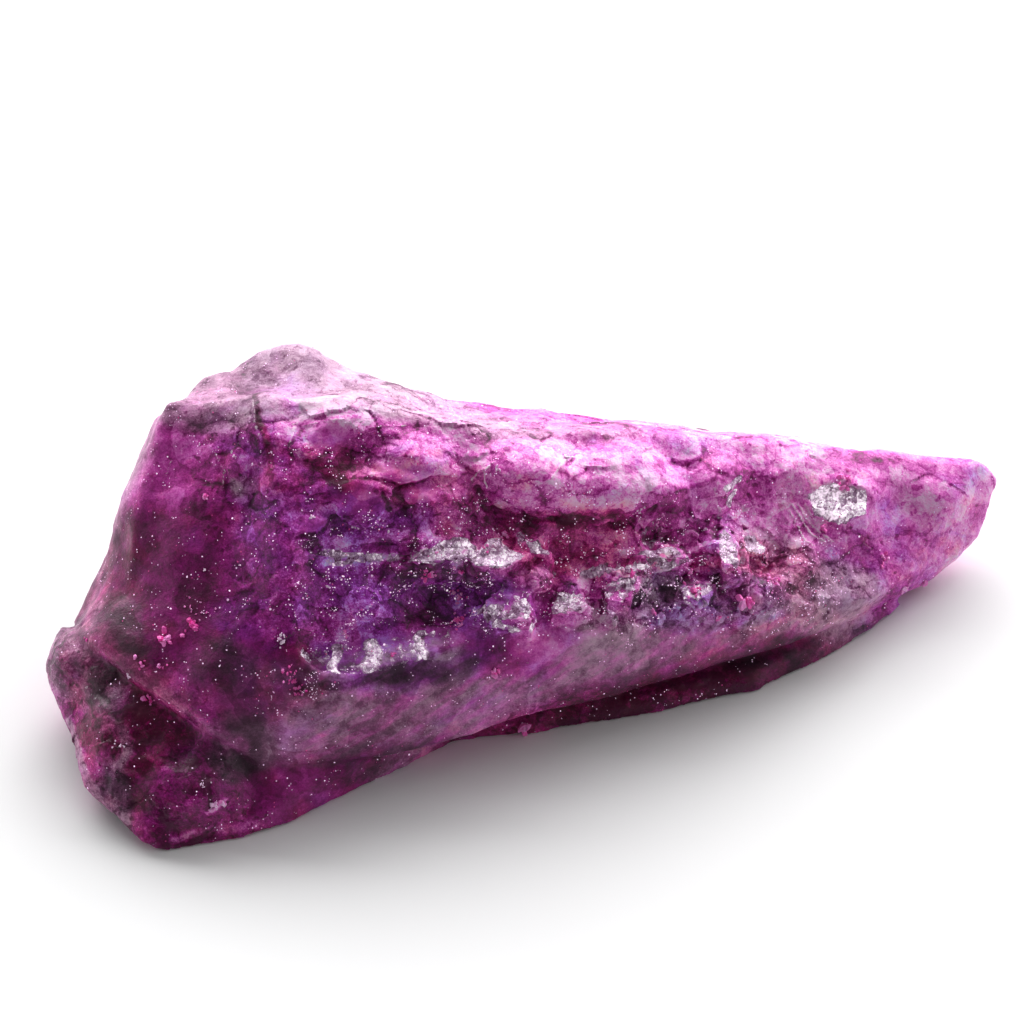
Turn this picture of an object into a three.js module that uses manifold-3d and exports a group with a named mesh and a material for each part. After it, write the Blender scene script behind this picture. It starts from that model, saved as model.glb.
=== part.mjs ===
// A piece of rough sapphire: one broken, wedge-shaped stone lying on its flat underside.
// Millimetres, +Z up. Corners and features are given in a working frame: the floor is z = 0, +X runs
// from the thick end to the tip, and +Y to the back. The finished mesh has its origin at the middle of its base.
import * as THREE from "three";
import { ConvexGeometry } from "three/addons/geometries/ConvexGeometry.js";
import { mergeVertices } from "three/addons/utils/BufferGeometryUtils.js";
import Module from "manifold-3d";

const wasm = await Module();
wasm.setup();

// --- the stone's main corners, each list one block that is flat between its corners ----------------------

// The thick end: the broken end face on the left, the crown above it and the start of the front.
const headCorners = [
  // crown, the edge between the front and the back of the top
  [-21.3, 10.3, 16.2], [-11.1, 9.2, 18], [-2.0, 8.5, 16],
  // back edge of the top
  [-19.4, 13.6, 14.5], [-12.1, 15.6, 14.5], [-4.5, 13.8, 13.2],
  // narrow side facet left of the end face
  [-23.6, 7.6, 10], [-22.5, 11.7, 13], [-24.7, 9.7, 7.5],
  // left outline down to the notch
  [-25.4, 7.6, 5.5], [-27.7, 2.9, 3.5],
  // rounded ridge between the end face and the front
  [-13.1, 1.0, 12.8], [-14.0, -5.4, 7.7], [-15.3, -8.3, 3.5],
  // overhanging lower rim of the end face
  [-25.5, -2.0, 6.9], [-20.6, -6.3, 6.4], [-17.9, -7.7, 5.6],
  // brow and foot of the lower front
  [-9.5, -5.9, 7.3], [0.5, -1.5, 7.0], [-6.9, -6.9, 2.5], [0.5, -2.9, 3.4],
  // back
  [-21, 15.5, 6], [-8, 17, 7], [-25, 9, 3],
  // foot
  [-24, 0, 0], [-16, -7, 0], [0, 1, 0], [-20, 12, 0], [-8, 14, 0], [2, 13, 0],
];

// The long end that tapers to the tip.
const tongueCorners = [
  [-10, 9.0, 16.4], [-2.0, 8.5, 15.8], [5.5, 10.0, 13.7], [11.8, 11.1, 11.6], [19.5, 12.6, 9.5],
  [30.3, 14.0, 6.3], [31.5, 13.8, 4.6], [30.5, 11.2, 1.6], [29.2, 10.2, 0.8], [27.2, 8.5, 0.4],
  [-4.5, 13.8, 12.9], [5.5, 13.1, 11.6], [11.9, 13.8, 9.7], [16.5, 14.1, 8.2],
  [-9.5, -5.9, 7.3], [0.5, -1.5, 7.0], [5.4, 0.6, 7.3], [11.7, 1.4, 6.8], [18.0, 3.0, 5.2], [22.6, 4.6, 3.6],
  [-6.9, -6.9, 2.5], [0.5, -2.9, 3.4], [3.6, -1.3, 3.8], [11.1, -0.3, 3.3], [17.5, 2, 2.4], [20.4, 3.9, 1.8],
  [6, 16, 5.5], [20, 16.4, 4], [28.5, 15.8, 2.6],
  [-8, -2, 0], [4, 2, 0], [20, 7.6, 0], [24, 12, 0], [8, 13.5, 0], [-8, 14, 0],
];

// The broken corner below the rim of the end face.
const toeCorners = [
  [-28.3, 2.1, 4.3], [-29.2, -0.3, 3], [-28.0, -3.4, 2.5], [-26.0, -8.3, 1.5], [-24.0, -10.2, 1],
  [-22.7, -12.1, 0.5], [-21.2, -12.3, 0], [-16.7, -11.4, 0], [-13.7, -10.2, 0],
  [-27.1, 0.4, 5], [-25.6, -2.8, 5.9], [-21.2, -7.2, 5.2], [-17.6, -9.0, 3.9],
  // where it runs in under the rim
  [-24, 0, 5.6], [-20.5, -4.6, 5.2], [-17.5, -6.6, 4.3],
  [-26, 2, 0], [-26, -6, 0], [-14, -2, 0],
];

// The foot below the front: a low bank beside the thick end, then a thin shelf under the overhang.
const bankCorners = [
  [-22.7, -12.1, 0.5], [-21.2, -12.3, 0], [-16.7, -11.4, 0], [-13.7, -10.2, 0], [-7.6, -6.2, 0],
  [-3.4, -4.0, 0], [-14, -9.6, 1.7], [-14.5, -8.6, 2.8], [-10, -7.6, 1.7], [-5, -4.6, 1.0],
  [-18, -6, 2.6], [-14, 2, 2.6], [-20, 4, 0], [-2, 0, 0],
];
const shelfCorners = [
  [-4, -4.0, 0], [1.1, -3.5, 0], [8, -2.0, 0], [15.7, 0.1, 0], [21.9, 4.0, 0], [25.4, 6.9, 0.2],
  [-4, -3.6, 1.1], [8, -1.3, 1.0], [15, 0.6, 1.2], [21.6, 4.5, 1.2],
  [20, 10, 0], [22, 8, 1.6], [-4, 4, 0],
];

// --- solids from three.js geometry, and back -------------------------------------------------------------

function solidOf(geometry) {
  const bare = new THREE.BufferGeometry();
  bare.setAttribute("position", geometry.getAttribute("position").clone());
  if (geometry.index) bare.setIndex(geometry.index.clone());
  const merged = mergeVertices(bare, 1e-4);
  return new wasm.Manifold(
    new wasm.Mesh({
      numProp: 3,
      vertProperties: new Float32Array(merged.getAttribute("position").array),
      triVerts: new Uint32Array(merged.index.array),
    }),
  );
}

function geometryOf(solid) {
  const { vertProperties, triVerts } = solid.getMesh();
  const geometry = new THREE.BufferGeometry();
  geometry.setAttribute("position", new THREE.BufferAttribute(vertProperties, 3));
  geometry.setIndex(new THREE.BufferAttribute(triVerts, 1));
  return geometry;
}

const block = (corners) =>
  solidOf(new ConvexGeometry(corners.map((corner) => new THREE.Vector3(...corner))));

// --- steps broken into the front: each is a wedge taken out of the stone ---------------------------------

const steps = [
  // the long step: it starts at nothing on the ridge, then has a steep riser and a sloping tread
  [
    [-13.8, 1.6, 13.6], [-14.4, -5.2, 8.2], [-12.4, -0.6, 11.9], [-12.6, -4.9, 8.3], [-12.2, -4.0, 13.0],
    [-9.0, -0.1, 11.8], [-9.0, -2.4, 8.5], [-9.0, -5.2, 8.0], [-9.0, -5.2, 11.0], [-9.0, 0.6, 13.4],
    [-3.2, 1.0, 11.2], [-3.0, -0.6, 9.0], [-3.2, -2.9, 8.0], [-3.0, -2.8, 10.8], [-3.2, 1.8, 12.6],
    [2.2, 1.6, 10.2], [2.2, 0.0, 9.0], [2.4, -0.4, 9.8],
  ],
  // the narrow ledge above its riser
  [
    [-13.6, 1.7, 13.1], [-13.4, 0.2, 12.4], [-10.0, 1.7, 12.2], [-10.0, -0.2, 11.8], [-10.0, 0.6, 13.8],
    [-5.0, 2.2, 12.1], [-5.0, 0.4, 11.7], [-5.0, 0.8, 13.8], [-2.6, 2.4, 12.7],
  ],
];

// --- lumps, knobs and pits, each seated on the broken stone ----------------------------------------------

// x and y: place seen from above, or x and z: place seen from behind.
// size: length, width, and how far it stands out or in; turn: degrees about the way it faces;
// steep: how much narrower the downhill side is than the uphill side.
const lumps = [
  // knob behind the crown, and the smaller one left of it
  { x: -14.4, y: 14.6, size: [6.4, 4.4, 1.9], turn: -4 },
  { x: -18.3, y: 13.0, size: [4.6, 3.4, 0.9], turn: 25 },
  // the big lump on the front, in two lobes
  { x: 1.6, y: 6.4, size: [8.4, 5.4, 1.7], turn: -6, steep: 0.35 },
  { x: 6.8, y: 7.0, size: [8.4, 6.0, 2.0], turn: 8, steep: 0.35 },
  // layers along the ridge beside the end face
  { x: -14.6, y: 7.0, size: [3.4, 8.4, 0.7], turn: 8 },
  { x: -14.0, y: 0.6, size: [3.2, 9.0, 0.6], turn: 2 },
  // scales on the crown face
  { x: -9.6, y: 7.6, size: [6.0, 3.0, 0.6], turn: -8, steep: 0.4 },
  { x: -6.2, y: 6.2, size: [6.2, 3.2, 0.8], turn: -6, steep: 0.5 },
  { x: -9.2, y: 4.0, size: [5.4, 3.8, 0.7], turn: 10, steep: 0.4 },
  { x: -4.8, y: 4.4, size: [4.6, 2.8, 0.6], turn: -8, steep: 0.4 },
  { x: -9.0, y: -0.9, size: [3.2, 2.8, 0.6] },
  // scales towards the tip
  { x: 12.6, y: 8.7, size: [5.4, 3.4, 0.6], turn: 10, steep: 0.3 },
  { x: 17.0, y: 10.2, size: [5.0, 3.0, 0.5], turn: 12, steep: 0.3 },
  { x: 22.8, y: 11.2, size: [6.0, 4.0, 0.6], turn: 10 },
  { x: 26.8, y: 11.4, size: [5.0, 3.6, 0.6] },
  // lumps of the broken corner below the end face
  { x: -27.2, y: -0.4, size: [4.2, 4.2, 0.8], turn: 30 },
  { x: -24.6, y: -6.4, size: [3.0, 6.6, 0.9], turn: 12 },
  { x: -19.4, y: -10.0, size: [6.0, 3.4, 0.7], turn: -20 },
  // the back
  { x: -17.0, z: 8.4, size: [7.0, 6.0, 1.1], turn: 20 },
  { x: -6.5, z: 5.0, size: [9.0, 5.0, 1.2], turn: -12 },
  { x: 1.5, z: 8.6, size: [8.0, 3.6, 0.8], turn: 14 },
  { x: 12.0, z: 5.4, size: [8.4, 3.8, 0.9], turn: 8 },
  { x: 22.5, z: 3.6, size: [5.6, 3.2, 0.7], turn: 10 },
];

// angular knobs in a row along the front, and the smaller row below them
const knobs = [
  { x: -5.2, y: 1.9, size: [3.2, 1.6, 0.7], turn: 10 },
  { x: -3.0, y: 2.3, size: [2.8, 2.0, 1.1], turn: 15 },
  { x: -0.9, y: 2.3, size: [3.0, 2.2, 1.3], turn: -10 },
  { x: 1.2, y: 2.8, size: [2.8, 2.2, 1.2], turn: 30 },
  { x: 0.4, y: 0.9, size: [3.2, 2.4, 1.3], turn: -15 },
  { x: -0.3, y: -0.6, size: [4.0, 2.6, 1.0], turn: 10 },
  { x: 3.4, y: 0.6, size: [2.6, 3.2, 1.2], turn: -20 },
  { x: 4.8, y: 2.8, size: [3.4, 1.8, 0.9], turn: 8 },
  { x: 6.6, y: 1.6, size: [3.2, 2.8, 1.0], turn: 25 },
  { x: 9.2, y: 3.6, size: [4.4, 2.0, 1.1], turn: 6 },
  { x: 11.0, y: 2.4, size: [3.8, 2.0, 0.8], turn: -6 },
  { x: 13.4, y: 4.6, size: [3.4, 3.2, 1.1], turn: 30 },
  { x: 15.8, y: 3.4, size: [4.0, 2.4, 0.6], turn: 5 },
  { x: 18.0, y: 5.4, size: [3.6, 2.8, 0.8], turn: 40 },
  { x: 21.2, y: 8.6, size: [5.0, 4.4, 0.6], turn: 10 },
];

const pits = [
  // the crease that runs round the lower side of the big lump
  { x: -0.8, y: 4.3, size: [5.6, 1.9, 0.8], turn: -38 },
  { x: 3.6, y: 2.9, size: [8.6, 2.0, 0.9], turn: -4 },
  { x: 9.4, y: 4.3, size: [6.4, 2.0, 0.9], turn: 26 },
  // hollows among the knobs
  { x: 5.2, y: 1.0, size: [6.4, 1.8, 0.8], turn: 10 },
  { x: 10.8, y: 3.0, size: [6.0, 1.6, 0.8], turn: 14 },
  { x: 16.4, y: 5.0, size: [5.4, 2.2, 0.8], turn: 22 },
  { x: -12.9, y: -5.4, size: [2.2, 2.2, 1.1] },
  { x: -4.4, y: -0.3, size: [7.0, 3.2, 1.0], turn: 4 },
  { x: -8.6, y: -5.2, size: [8.0, 1.8, 0.5], turn: 12 },
  { x: -20.2, y: -7.6, size: [6.0, 3.0, 0.9], turn: -35 },
  { x: -24.8, y: 1.2, size: [3.4, 2.4, 0.7], turn: -30 },
  // the back
  { x: -11.5, z: 9.0, size: [4.4, 6.4, 1.0], turn: 30 },
  { x: 5.6, z: 4.4, size: [6.0, 3.0, 0.9], turn: -10 },
  { x: 17.6, z: 5.0, size: [4.4, 2.4, 0.6], turn: 25 },
];

// The stone broke into small cells: rounded tops that meet in creases.
// size: cell across, mm; stretch: longer along x; bulge: how round; tilt: how far the tops lean;
// middle: the level that neither stands out nor in; height in mm.
const cells = { seed: 5, size: 3.6, stretch: 1.5, bulge: 0.9, tilt: 0.45, vary: 0.5, middle: 0.3, height: 0.6 };

// Slow waves take the flatness off the big breaks.
const waves = { length: 11, height: 0.46, skew: 0.5, across: 1.3, up: 0.7 };

// The overhanging brow along the front is the one smooth break: only this share of the cells shows on it.
const brow = { left: -15, top: 8, steepest: 0.62, forward: -0.5, share: 0.25 };

// How a lump rounds off at its edge, how steeply a knob breaks off, and how far its top leans back.
const shapes = { lumpRound: 0.7, knobSteep: 2.4, knobLean: 0.25 };

// A feature touches only skin that lies this close above or below its seat.
const featureReach = 3;

// The underside is hollowed wherever its cells stay below a level, but not at its rim or on one flat disc.
const underside = {
  seed: 23, size: 7, stretch: 1.4, bulge: 0.8, tilt: 0.3, vary: 0.6, level: 0.38, height: 1.6, rim: 0.85,
};
const restFlat = { x: -8.8, y: 3.6, radius: 5, fade: 4 };

// Near the floor only a share of the relief is left, and above the height all of it.
// The sides stay clear of the floor.
const foot = { height: 2, clear: 0.05, share: 0.4 };

// Facets are this long at most, and shorter on the front, which is worked most.
const facet = { longest: 2.4, front: 1.2 };
const front = { bottom: 3, back: 12, left: -16 };

// The skin moves the way it faces on average over this distance, so it hardly moves inside narrow clefts.
const facingReach = 2.2;

// --- helpers for chance and places -----------------------------------------------------------------------

// a repeatable number from 0 to 1 for a whole-number place
function chance(i, j, k, seed) {
  let h = Math.imul(i, 374761393) ^ Math.imul(j, 668265263);
  h ^= Math.imul(k, 2147483647) ^ Math.imul(seed, 144665);
  h = Math.imul(h ^ (h >>> 13), 1274126177);
  h = Math.imul(h ^ (h >>> 16), 2246822519);
  return ((h ^ (h >>> 15)) >>> 0) / 2 ** 32;
}

// Where the stone is first met from above or from behind, and which way the face there looks.
function seatOn(mesh, { x, y, z, turn = 0 }) {
  const [start, way] = z === undefined ? [[x, y, 100], [0, 0, -1]] : [[x, 100, z], [0, -1, 0]];
  const ray = new THREE.Raycaster(new THREE.Vector3(...start), new THREE.Vector3(...way));
  const [hit] = ray.intersectObject(mesh);
  if (!hit) throw new Error(`nothing of the stone lies on the ray from ${start}`);
  const normal = hit.face.normal.clone();
  const lean = new THREE.Quaternion().setFromUnitVectors(new THREE.Vector3(0, 0, 1), normal);
  const about = THREE.MathUtils.degToRad(turn);
  return {
    point: hit.point,
    normal,
    along: new THREE.Vector3(Math.cos(about), Math.sin(about), 0).applyQuaternion(lean),
    across: new THREE.Vector3(-Math.sin(about), Math.cos(about), 0).applyQuaternion(lean),
  };
}

// --- relief: how far the skin at a point is moved out along its normal -----------------------------------

// The point in a feature's own lengths, or null where the feature doesn't reach.
function within({ seat, size, steep = 0 }, point) {
  const away = point.clone().sub(seat.point);
  if (Math.abs(away.dot(seat.normal)) > featureReach) return null;
  const a = away.dot(seat.along) / (size[0] / 2);
  const across = away.dot(seat.across) / (size[1] / 2);
  const b = across / (across < 0 ? 1 - steep : 1);
  return Math.abs(a) < 1 && Math.abs(b) < 1 ? { a, b } : null;
}

function domeHeight(feature, point) {
  const at = within(feature, point);
  if (!at) return 0;
  const r2 = at.a ** 2 + at.b ** 2;
  return r2 < 1 ? feature.size[2] * (1 - r2) ** shapes.lumpRound : 0;
}

// A knob is flat on top and breaks off steeply all round.
function knobHeight(feature, point) {
  const at = within(feature, point);
  if (!at) return 0;
  const r = (at.a ** 4 + at.b ** 4) ** 0.25;
  const rise = THREE.MathUtils.clamp(shapes.knobSteep * (1 - r), 0, 1);
  return feature.size[2] * rise * (1 + shapes.knobLean * at.b);
}

// The highest of the cells round a point, in parts of the cells' height.
function cellHeight(point, { seed, size, stretch, bulge, tilt, vary }) {
  const u = point.x / (size * stretch);
  const v = point.y / size;
  const w = point.z / size;
  let most = -Infinity;
  for (let i = Math.floor(u) - 1; i <= Math.floor(u) + 1; i++)
    for (let j = Math.floor(v) - 1; j <= Math.floor(v) + 1; j++)
      for (let k = Math.floor(w) - 1; k <= Math.floor(w) + 1; k++) {
        const du = u - i - chance(i, j, k, seed);
        const dv = v - j - chance(i, j, k, seed + 1);
        const dw = w - k - chance(i, j, k, seed + 2);
        const lean = tilt * (2 * chance(i, j, k, seed + 3) - 1);
        const rise = vary * chance(i, j, k, seed + 4);
        most = Math.max(most, rise + lean * (du + dv) - bulge * (du * du + dv * dv + dw * dw));
      }
  return most;
}

function waveHeight({ x, y, z }, { length, height, skew, across, up }) {
  const turns = (2 * Math.PI) / length;
  const sideways = Math.sin(turns * (x + skew * z)) * Math.cos(turns * across * (y - skew * x));
  return (height / 2) * (sideways + Math.sin(turns * up * (z + y)));
}

function isOnBrow(point, facing) {
  return facing.z < brow.steepest && facing.y < brow.forward && point.x > brow.left && point.z < brow.top;
}

// --- refining: long edges are halved until every facet is short enough -----------------------------------

function shortEdged(geometry, longestAt) {
  const flat = geometry.toNonIndexed().getAttribute("position");
  const corner = (i) => new THREE.Vector3().fromBufferAttribute(flat, i);
  const open = [];
  for (let i = 0; i < flat.count; i += 3) open.push([corner(i), corner(i + 1), corner(i + 2)]);
  const done = [];
  while (open.length) {
    const [a, b, c] = open.pop();
    const edges = [[a, b, c], [b, c, a], [c, a, b]].map(([p, q, r]) => {
      const middle = p.clone().add(q).multiplyScalar(0.5);
      return { p, q, r, middle, over: p.distanceTo(q) / longestAt(middle) };
    });
    const long = edges.reduce((most, edge) => (edge.over > most.over ? edge : most));
    if (long.over <= 1) done.push(a, b, c);
    else open.push([long.p, long.middle, long.r], [long.middle, long.q, long.r]);
  }
  return mergeVertices(new THREE.BufferGeometry().setFromPoints(done), 1e-4);
}

// --- the stone -------------------------------------------------------------------------------------------

const blocks = [headCorners, tongueCorners, toeCorners, bankCorners, shelfCorners].map(block);
const floor = solidOf(new THREE.BoxGeometry(100, 100, 10).translate(0, 0, -5));
const broken = wasm.Manifold.union(blocks).subtract(wasm.Manifold.union([...steps.map(block), floor]));

const seats = new THREE.Mesh(geometryOf(broken));
const seated = (features) => features.map((feature) => ({ ...feature, seat: seatOn(seats, feature) }));
const features = { lumps: seated(lumps), knobs: seated(knobs), pits: seated(pits) };

function relief(point, facing) {
  const most = (list, height) => Math.max(0, ...list.map((feature) => height(feature, point)));
  const cell = cells.height * (cellHeight(point, cells) - cells.middle);
  return (
    (isOnBrow(point, facing) ? brow.share : 1) * cell +
    waveHeight(point, waves) +
    most(features.lumps, domeHeight) +
    most(features.knobs, knobHeight) -
    most(features.pits, domeHeight)
  );
}

// How far the underside is hollowed at a place.
function hollowed(point, facing) {
  const away = Math.hypot(point.x - restFlat.x, point.y - restFlat.y);
  const offFlat = THREE.MathUtils.smoothstep(away, restFlat.radius, restFlat.radius + restFlat.fade);
  const offRim = THREE.MathUtils.smoothstep(-facing.z, underside.rim, 1);
  return offFlat * offRim * underside.height * Math.max(0, underside.level - cellHeight(point, underside));
}

// The way the skin faces round each of its points: shorter than 1 where faces near it look different ways.
function facings(geometry, reach) {
  const flat = geometry.toNonIndexed().getAttribute("position");
  const faces = [];
  for (let i = 0; i < flat.count; i += 3) {
    const triangle = new THREE.Triangle().setFromAttributeAndIndices(flat, i, i + 1, i + 2);
    const middle = triangle.getMidpoint(new THREE.Vector3());
    const normal = triangle.getNormal(new THREE.Vector3());
    faces.push({ middle, normal, area: triangle.getArea() });
  }
  const skin = geometry.getAttribute("position");
  return Array.from({ length: skin.count }, (_, i) => {
    const point = new THREE.Vector3().fromBufferAttribute(skin, i);
    const sum = new THREE.Vector3();
    let area = 0;
    for (const face of faces) {
      if (face.middle.distanceToSquared(point) > reach * reach) continue;
      sum.addScaledVector(face.normal, face.area);
      area += face.area;
    }
    return sum.divideScalar(area);
  });
}

const isFront = ({ x, y, z }) => z > front.bottom && y < front.back && x > front.left;
const stone = shortEdged(geometryOf(broken), (point) => (isFront(point) ? facet.front : facet.longest));
const skin = stone.getAttribute("position");
for (const [i, facing] of facings(stone, facingReach).entries()) {
  const point = new THREE.Vector3().fromBufferAttribute(skin, i);
  const isBase = point.z < foot.clear / 2;
  const raised = THREE.MathUtils.smoothstep(point.z, 0, foot.height);
  const out = relief(point, facing) * THREE.MathUtils.lerp(foot.share, 1, raised);
  const z = isBase ? hollowed(point, facing) : Math.max(point.z + raised * facing.z * out, foot.clear);
  skin.setXYZ(i, point.x + facing.x * out, point.y + facing.y * out, z);
}

// --- the mesh --------------------------------------------------------------------------------------------

const violet = new THREE.MeshStandardMaterial({ color: 0x6d2464, roughness: 0.38, metalness: 0 });
const sapphire = new THREE.Mesh(stone, violet);
sapphire.name = "sapphire";
stone.computeVertexNormals();

const box = new THREE.Box3().setFromObject(sapphire);
const middle = box.getCenter(new THREE.Vector3());
sapphire.position.set(-middle.x, -middle.y, -box.min.z);

const group = new THREE.Group();
group.add(sapphire);

export default group;
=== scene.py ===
# A piece of rough sapphire on a white table. The imported solid is copied, broken up, stained and dusted, and
# given painted sheen, glints and shade.
# Sizes and places are millimetres in the solid's own frame; mm turns them into metres.
import math
import random

import bpy
import numpy as np
from mathutils import Euler, Matrix, Vector


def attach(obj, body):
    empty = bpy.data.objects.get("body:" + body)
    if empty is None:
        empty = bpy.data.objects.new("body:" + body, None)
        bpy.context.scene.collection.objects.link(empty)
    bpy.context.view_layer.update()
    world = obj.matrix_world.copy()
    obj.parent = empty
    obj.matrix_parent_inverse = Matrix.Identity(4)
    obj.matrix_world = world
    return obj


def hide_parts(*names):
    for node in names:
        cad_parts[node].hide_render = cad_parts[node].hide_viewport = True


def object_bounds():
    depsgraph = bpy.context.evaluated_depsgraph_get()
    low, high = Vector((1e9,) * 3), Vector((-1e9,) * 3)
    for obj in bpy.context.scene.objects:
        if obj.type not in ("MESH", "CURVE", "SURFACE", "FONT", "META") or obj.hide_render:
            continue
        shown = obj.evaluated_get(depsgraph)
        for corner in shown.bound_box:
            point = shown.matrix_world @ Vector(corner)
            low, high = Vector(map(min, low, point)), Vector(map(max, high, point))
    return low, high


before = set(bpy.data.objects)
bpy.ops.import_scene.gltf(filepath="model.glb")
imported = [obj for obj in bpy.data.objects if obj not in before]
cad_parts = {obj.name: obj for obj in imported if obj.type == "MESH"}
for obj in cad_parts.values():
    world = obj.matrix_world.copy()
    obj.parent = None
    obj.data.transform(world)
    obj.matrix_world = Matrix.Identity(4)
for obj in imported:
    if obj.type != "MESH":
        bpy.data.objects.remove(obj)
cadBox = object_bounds()
scene = bpy.context.scene
mm = 0.001
print("frame loaded")


# helpers for objects

def pick(*pieces):
    bpy.ops.object.select_all(action="DESELECT")
    for piece in pieces:
        piece.select_set(True)
    bpy.context.view_layer.objects.active = pieces[0]


def fresh(operator, **settings):
    bpy.ops.object.select_all(action="DESELECT")
    operator(**settings)
    return bpy.context.object


def copied(name, mesh):
    piece = bpy.data.objects.new(name, mesh.copy())
    scene.collection.objects.link(piece)
    piece.data.materials.clear()
    return piece


def applied(piece, kind, **settings):
    pick(piece)
    modifier = piece.modifiers.new(kind.lower(), kind)
    for name, value in settings.items():
        setattr(modifier, name, value)
    bpy.ops.object.modifier_apply(modifier=modifier.name)


# vertex places and normals, in millimetres
def skinOf(piece):
    vertices = piece.data.vertices
    places = np.empty(len(vertices) * 3, np.float32)
    normals = np.empty(len(vertices) * 3, np.float32)
    vertices.foreach_get("co", places)
    vertices.foreach_get("normal", normals)
    return places.reshape(-1, 3).astype(float) / mm, normals.reshape(-1, 3).astype(float)


def moveSkin(piece, places):
    piece.data.vertices.foreach_set("co", (places * mm).astype(np.float32).ravel())
    piece.data.update()


def storeMask(piece, name, values):
    attribute = piece.data.attributes.get(name) or piece.data.attributes.new(name, "FLOAT", "POINT")
    attribute.data.foreach_set("value", values.astype(np.float32))


# nothing stands out of the solid's box
def keepInBox(piece):
    places, _ = skinOf(piece)
    lowest, highest = np.array(cadBox[0]) / mm, np.array(cadBox[1]) / mm
    moveSkin(piece, np.clip(places, lowest + stone["margin"], highest - stone["margin"]))


# 0 below start, 1 above end, smooth between them
def soft(values, start, end):
    share = np.clip((values - start) / (end - start), 0, 1)
    return share * share * (3 - 2 * share)


# each vertex's value averaged with its neighbours', round after round
def blurred(piece, values, rounds):
    edges = np.empty(len(piece.data.edges) * 2, np.int64)
    piece.data.edges.foreach_get("vertices", edges)
    ends = np.concatenate([edges[0::2], edges[1::2]])
    others = np.concatenate([edges[1::2], edges[0::2]])
    count = len(piece.data.vertices)
    shares = 1 / np.maximum(np.bincount(ends, minlength=count), 1)
    for _ in range(rounds):
        columns = [np.bincount(ends, values[others, k], count) * shares for k in range(values.shape[1])]
        values = (values + np.stack(columns, 1)) / 2
    return values


# which way the skin faces once its small relief is smoothed out
def facingOf(piece, normals):
    smooth = blurred(piece, normals, stone["facingRounds"])
    return smooth / np.maximum(np.linalg.norm(smooth, axis=1)[:, None], 1e-9)


# a mask from spots (middle, reach, value): a place takes the mean of the spots round it, small ones first
def spread(places, spots):
    total, weights = np.zeros(len(places)), np.full(len(places), 1e-9)
    for middle, reach, value in spots:
        away = (((places - middle) / reach) ** 2).sum(1)
        weight = np.exp(-away) / np.mean(reach) ** 2 + 1e-7
        total += weight * value
        weights += weight
    return total / weights


# Lines drawn over the skin waver: how far, how often and along which axes. They mark nothing deeper than this.
wavers = [(0.05, 3.7, [1, 2, 0]), (0.03, 11.3, [2, 0, 1])]
lineDepth = 1.5


# how far each place is from a line, below nought on its lower side, and its share along the line
def beside(places, facing, line, wander=1.0):
    nearest, shares = np.full(len(places), np.inf), np.zeros(len(places))
    places = places + wander * sum(far * np.sin(places[:, axes] * often) for far, often, axes in wavers)
    for step, (start, end) in enumerate(zip(line, line[1:])):
        start, along = np.array(start), np.array(end) - start
        share = np.clip((places - start) @ along / (along @ along), 0, 1)
        off = places - start - share[:, None] * along
        depth = (off * facing).sum(1)
        off = off - depth[:, None] * facing
        side = np.sign((off * (0, 0.4, 1)).sum(1))
        away = np.where(np.abs(depth) < lineDepth, np.linalg.norm(off, axis=1), np.inf)
        closer = away < np.abs(nearest)
        nearest = np.where(closer, away * side, nearest)
        shares = np.where(closer, (step + share) / (len(line) - 1), shares)
    return nearest, shares


# 1 on a line, 0 past its width; the thinnest lines do not waver
def drawn(places, facing, line, width):
    away, _ = beside(places, facing, line, soft(np.array(width), 0.15, 0.3))
    return 1 - soft(np.abs(away), width * 0.3, width)


# helpers for nodes

def add(tree, kind, inputs=None, **settings):
    made = tree.nodes.new(kind)
    for name, value in settings.items():
        setattr(made, name, value)
    for key, value in (inputs or {}).items():
        if isinstance(value, bpy.types.NodeSocket):
            tree.links.new(value, made.inputs[key])
        else:
            made.inputs[key].default_value = value
    return made


def calc(tree, operation, a, b=0.0, clamp=False):
    return add(tree, "ShaderNodeMath", {0: a, 1: b}, operation=operation, use_clamp=clamp).outputs[0]


def total(tree, *values):
    result = values[0]
    for value in values[1:]:
        result = calc(tree, "ADD", result, value)
    return result


def product(tree, *values):
    result = values[0]
    for value in values[1:]:
        result = calc(tree, "MULTIPLY", result, value)
    return result


# a 0 to 1 value made to swing round nought
def centred(tree, value, amount):
    return calc(tree, "MULTIPLY", calc(tree, "SUBTRACT", value, 0.5), amount)


def vectorCalc(tree, operation, a, b):
    made = add(tree, "ShaderNodeVectorMath", {0: a, 1: b}, operation=operation)
    return made.outputs["Value" if operation == "DOT_PRODUCT" else "Vector"]


def scaled(tree, vector, factor):
    made = add(tree, "ShaderNodeVectorMath", {0: vector, "Scale": factor}, operation="SCALE")
    return made.outputs["Vector"]


def split(tree, vector):
    return add(tree, "ShaderNodeSeparateXYZ", {0: vector}).outputs


# 0 to 1 as value goes from start to end
def ramp(tree, value, start, end, low=0.0, high=1.0):
    made = add(
        tree, "ShaderNodeMapRange",
        {"Value": value, "From Min": start, "From Max": end, "To Min": low, "To Max": high},
        interpolation_type="SMOOTHSTEP",
    )
    return made.outputs["Result"]


def noise(tree, place, size, detail=3.0, rough=0.55, shift=0.0):
    shifted = vectorCalc(tree, "ADD", place, (shift, shift * 0.7, shift * 1.3))
    return add(
        tree, "ShaderNodeTexNoise",
        {"Vector": shifted, "Scale": 1 / size, "Detail": detail, "Roughness": rough},
    ).outputs


# an empty tree of geometry nodes, and the mesh that it is given
def meshTree(name):
    tree = bpy.data.node_groups.new(name, "GeometryNodeTree")
    for way in ("INPUT", "OUTPUT"):
        tree.interface.new_socket("Geometry", in_out=way, socket_type="NodeSocketGeometry")
    return tree, add(tree, "NodeGroupInput").outputs[0]


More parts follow.
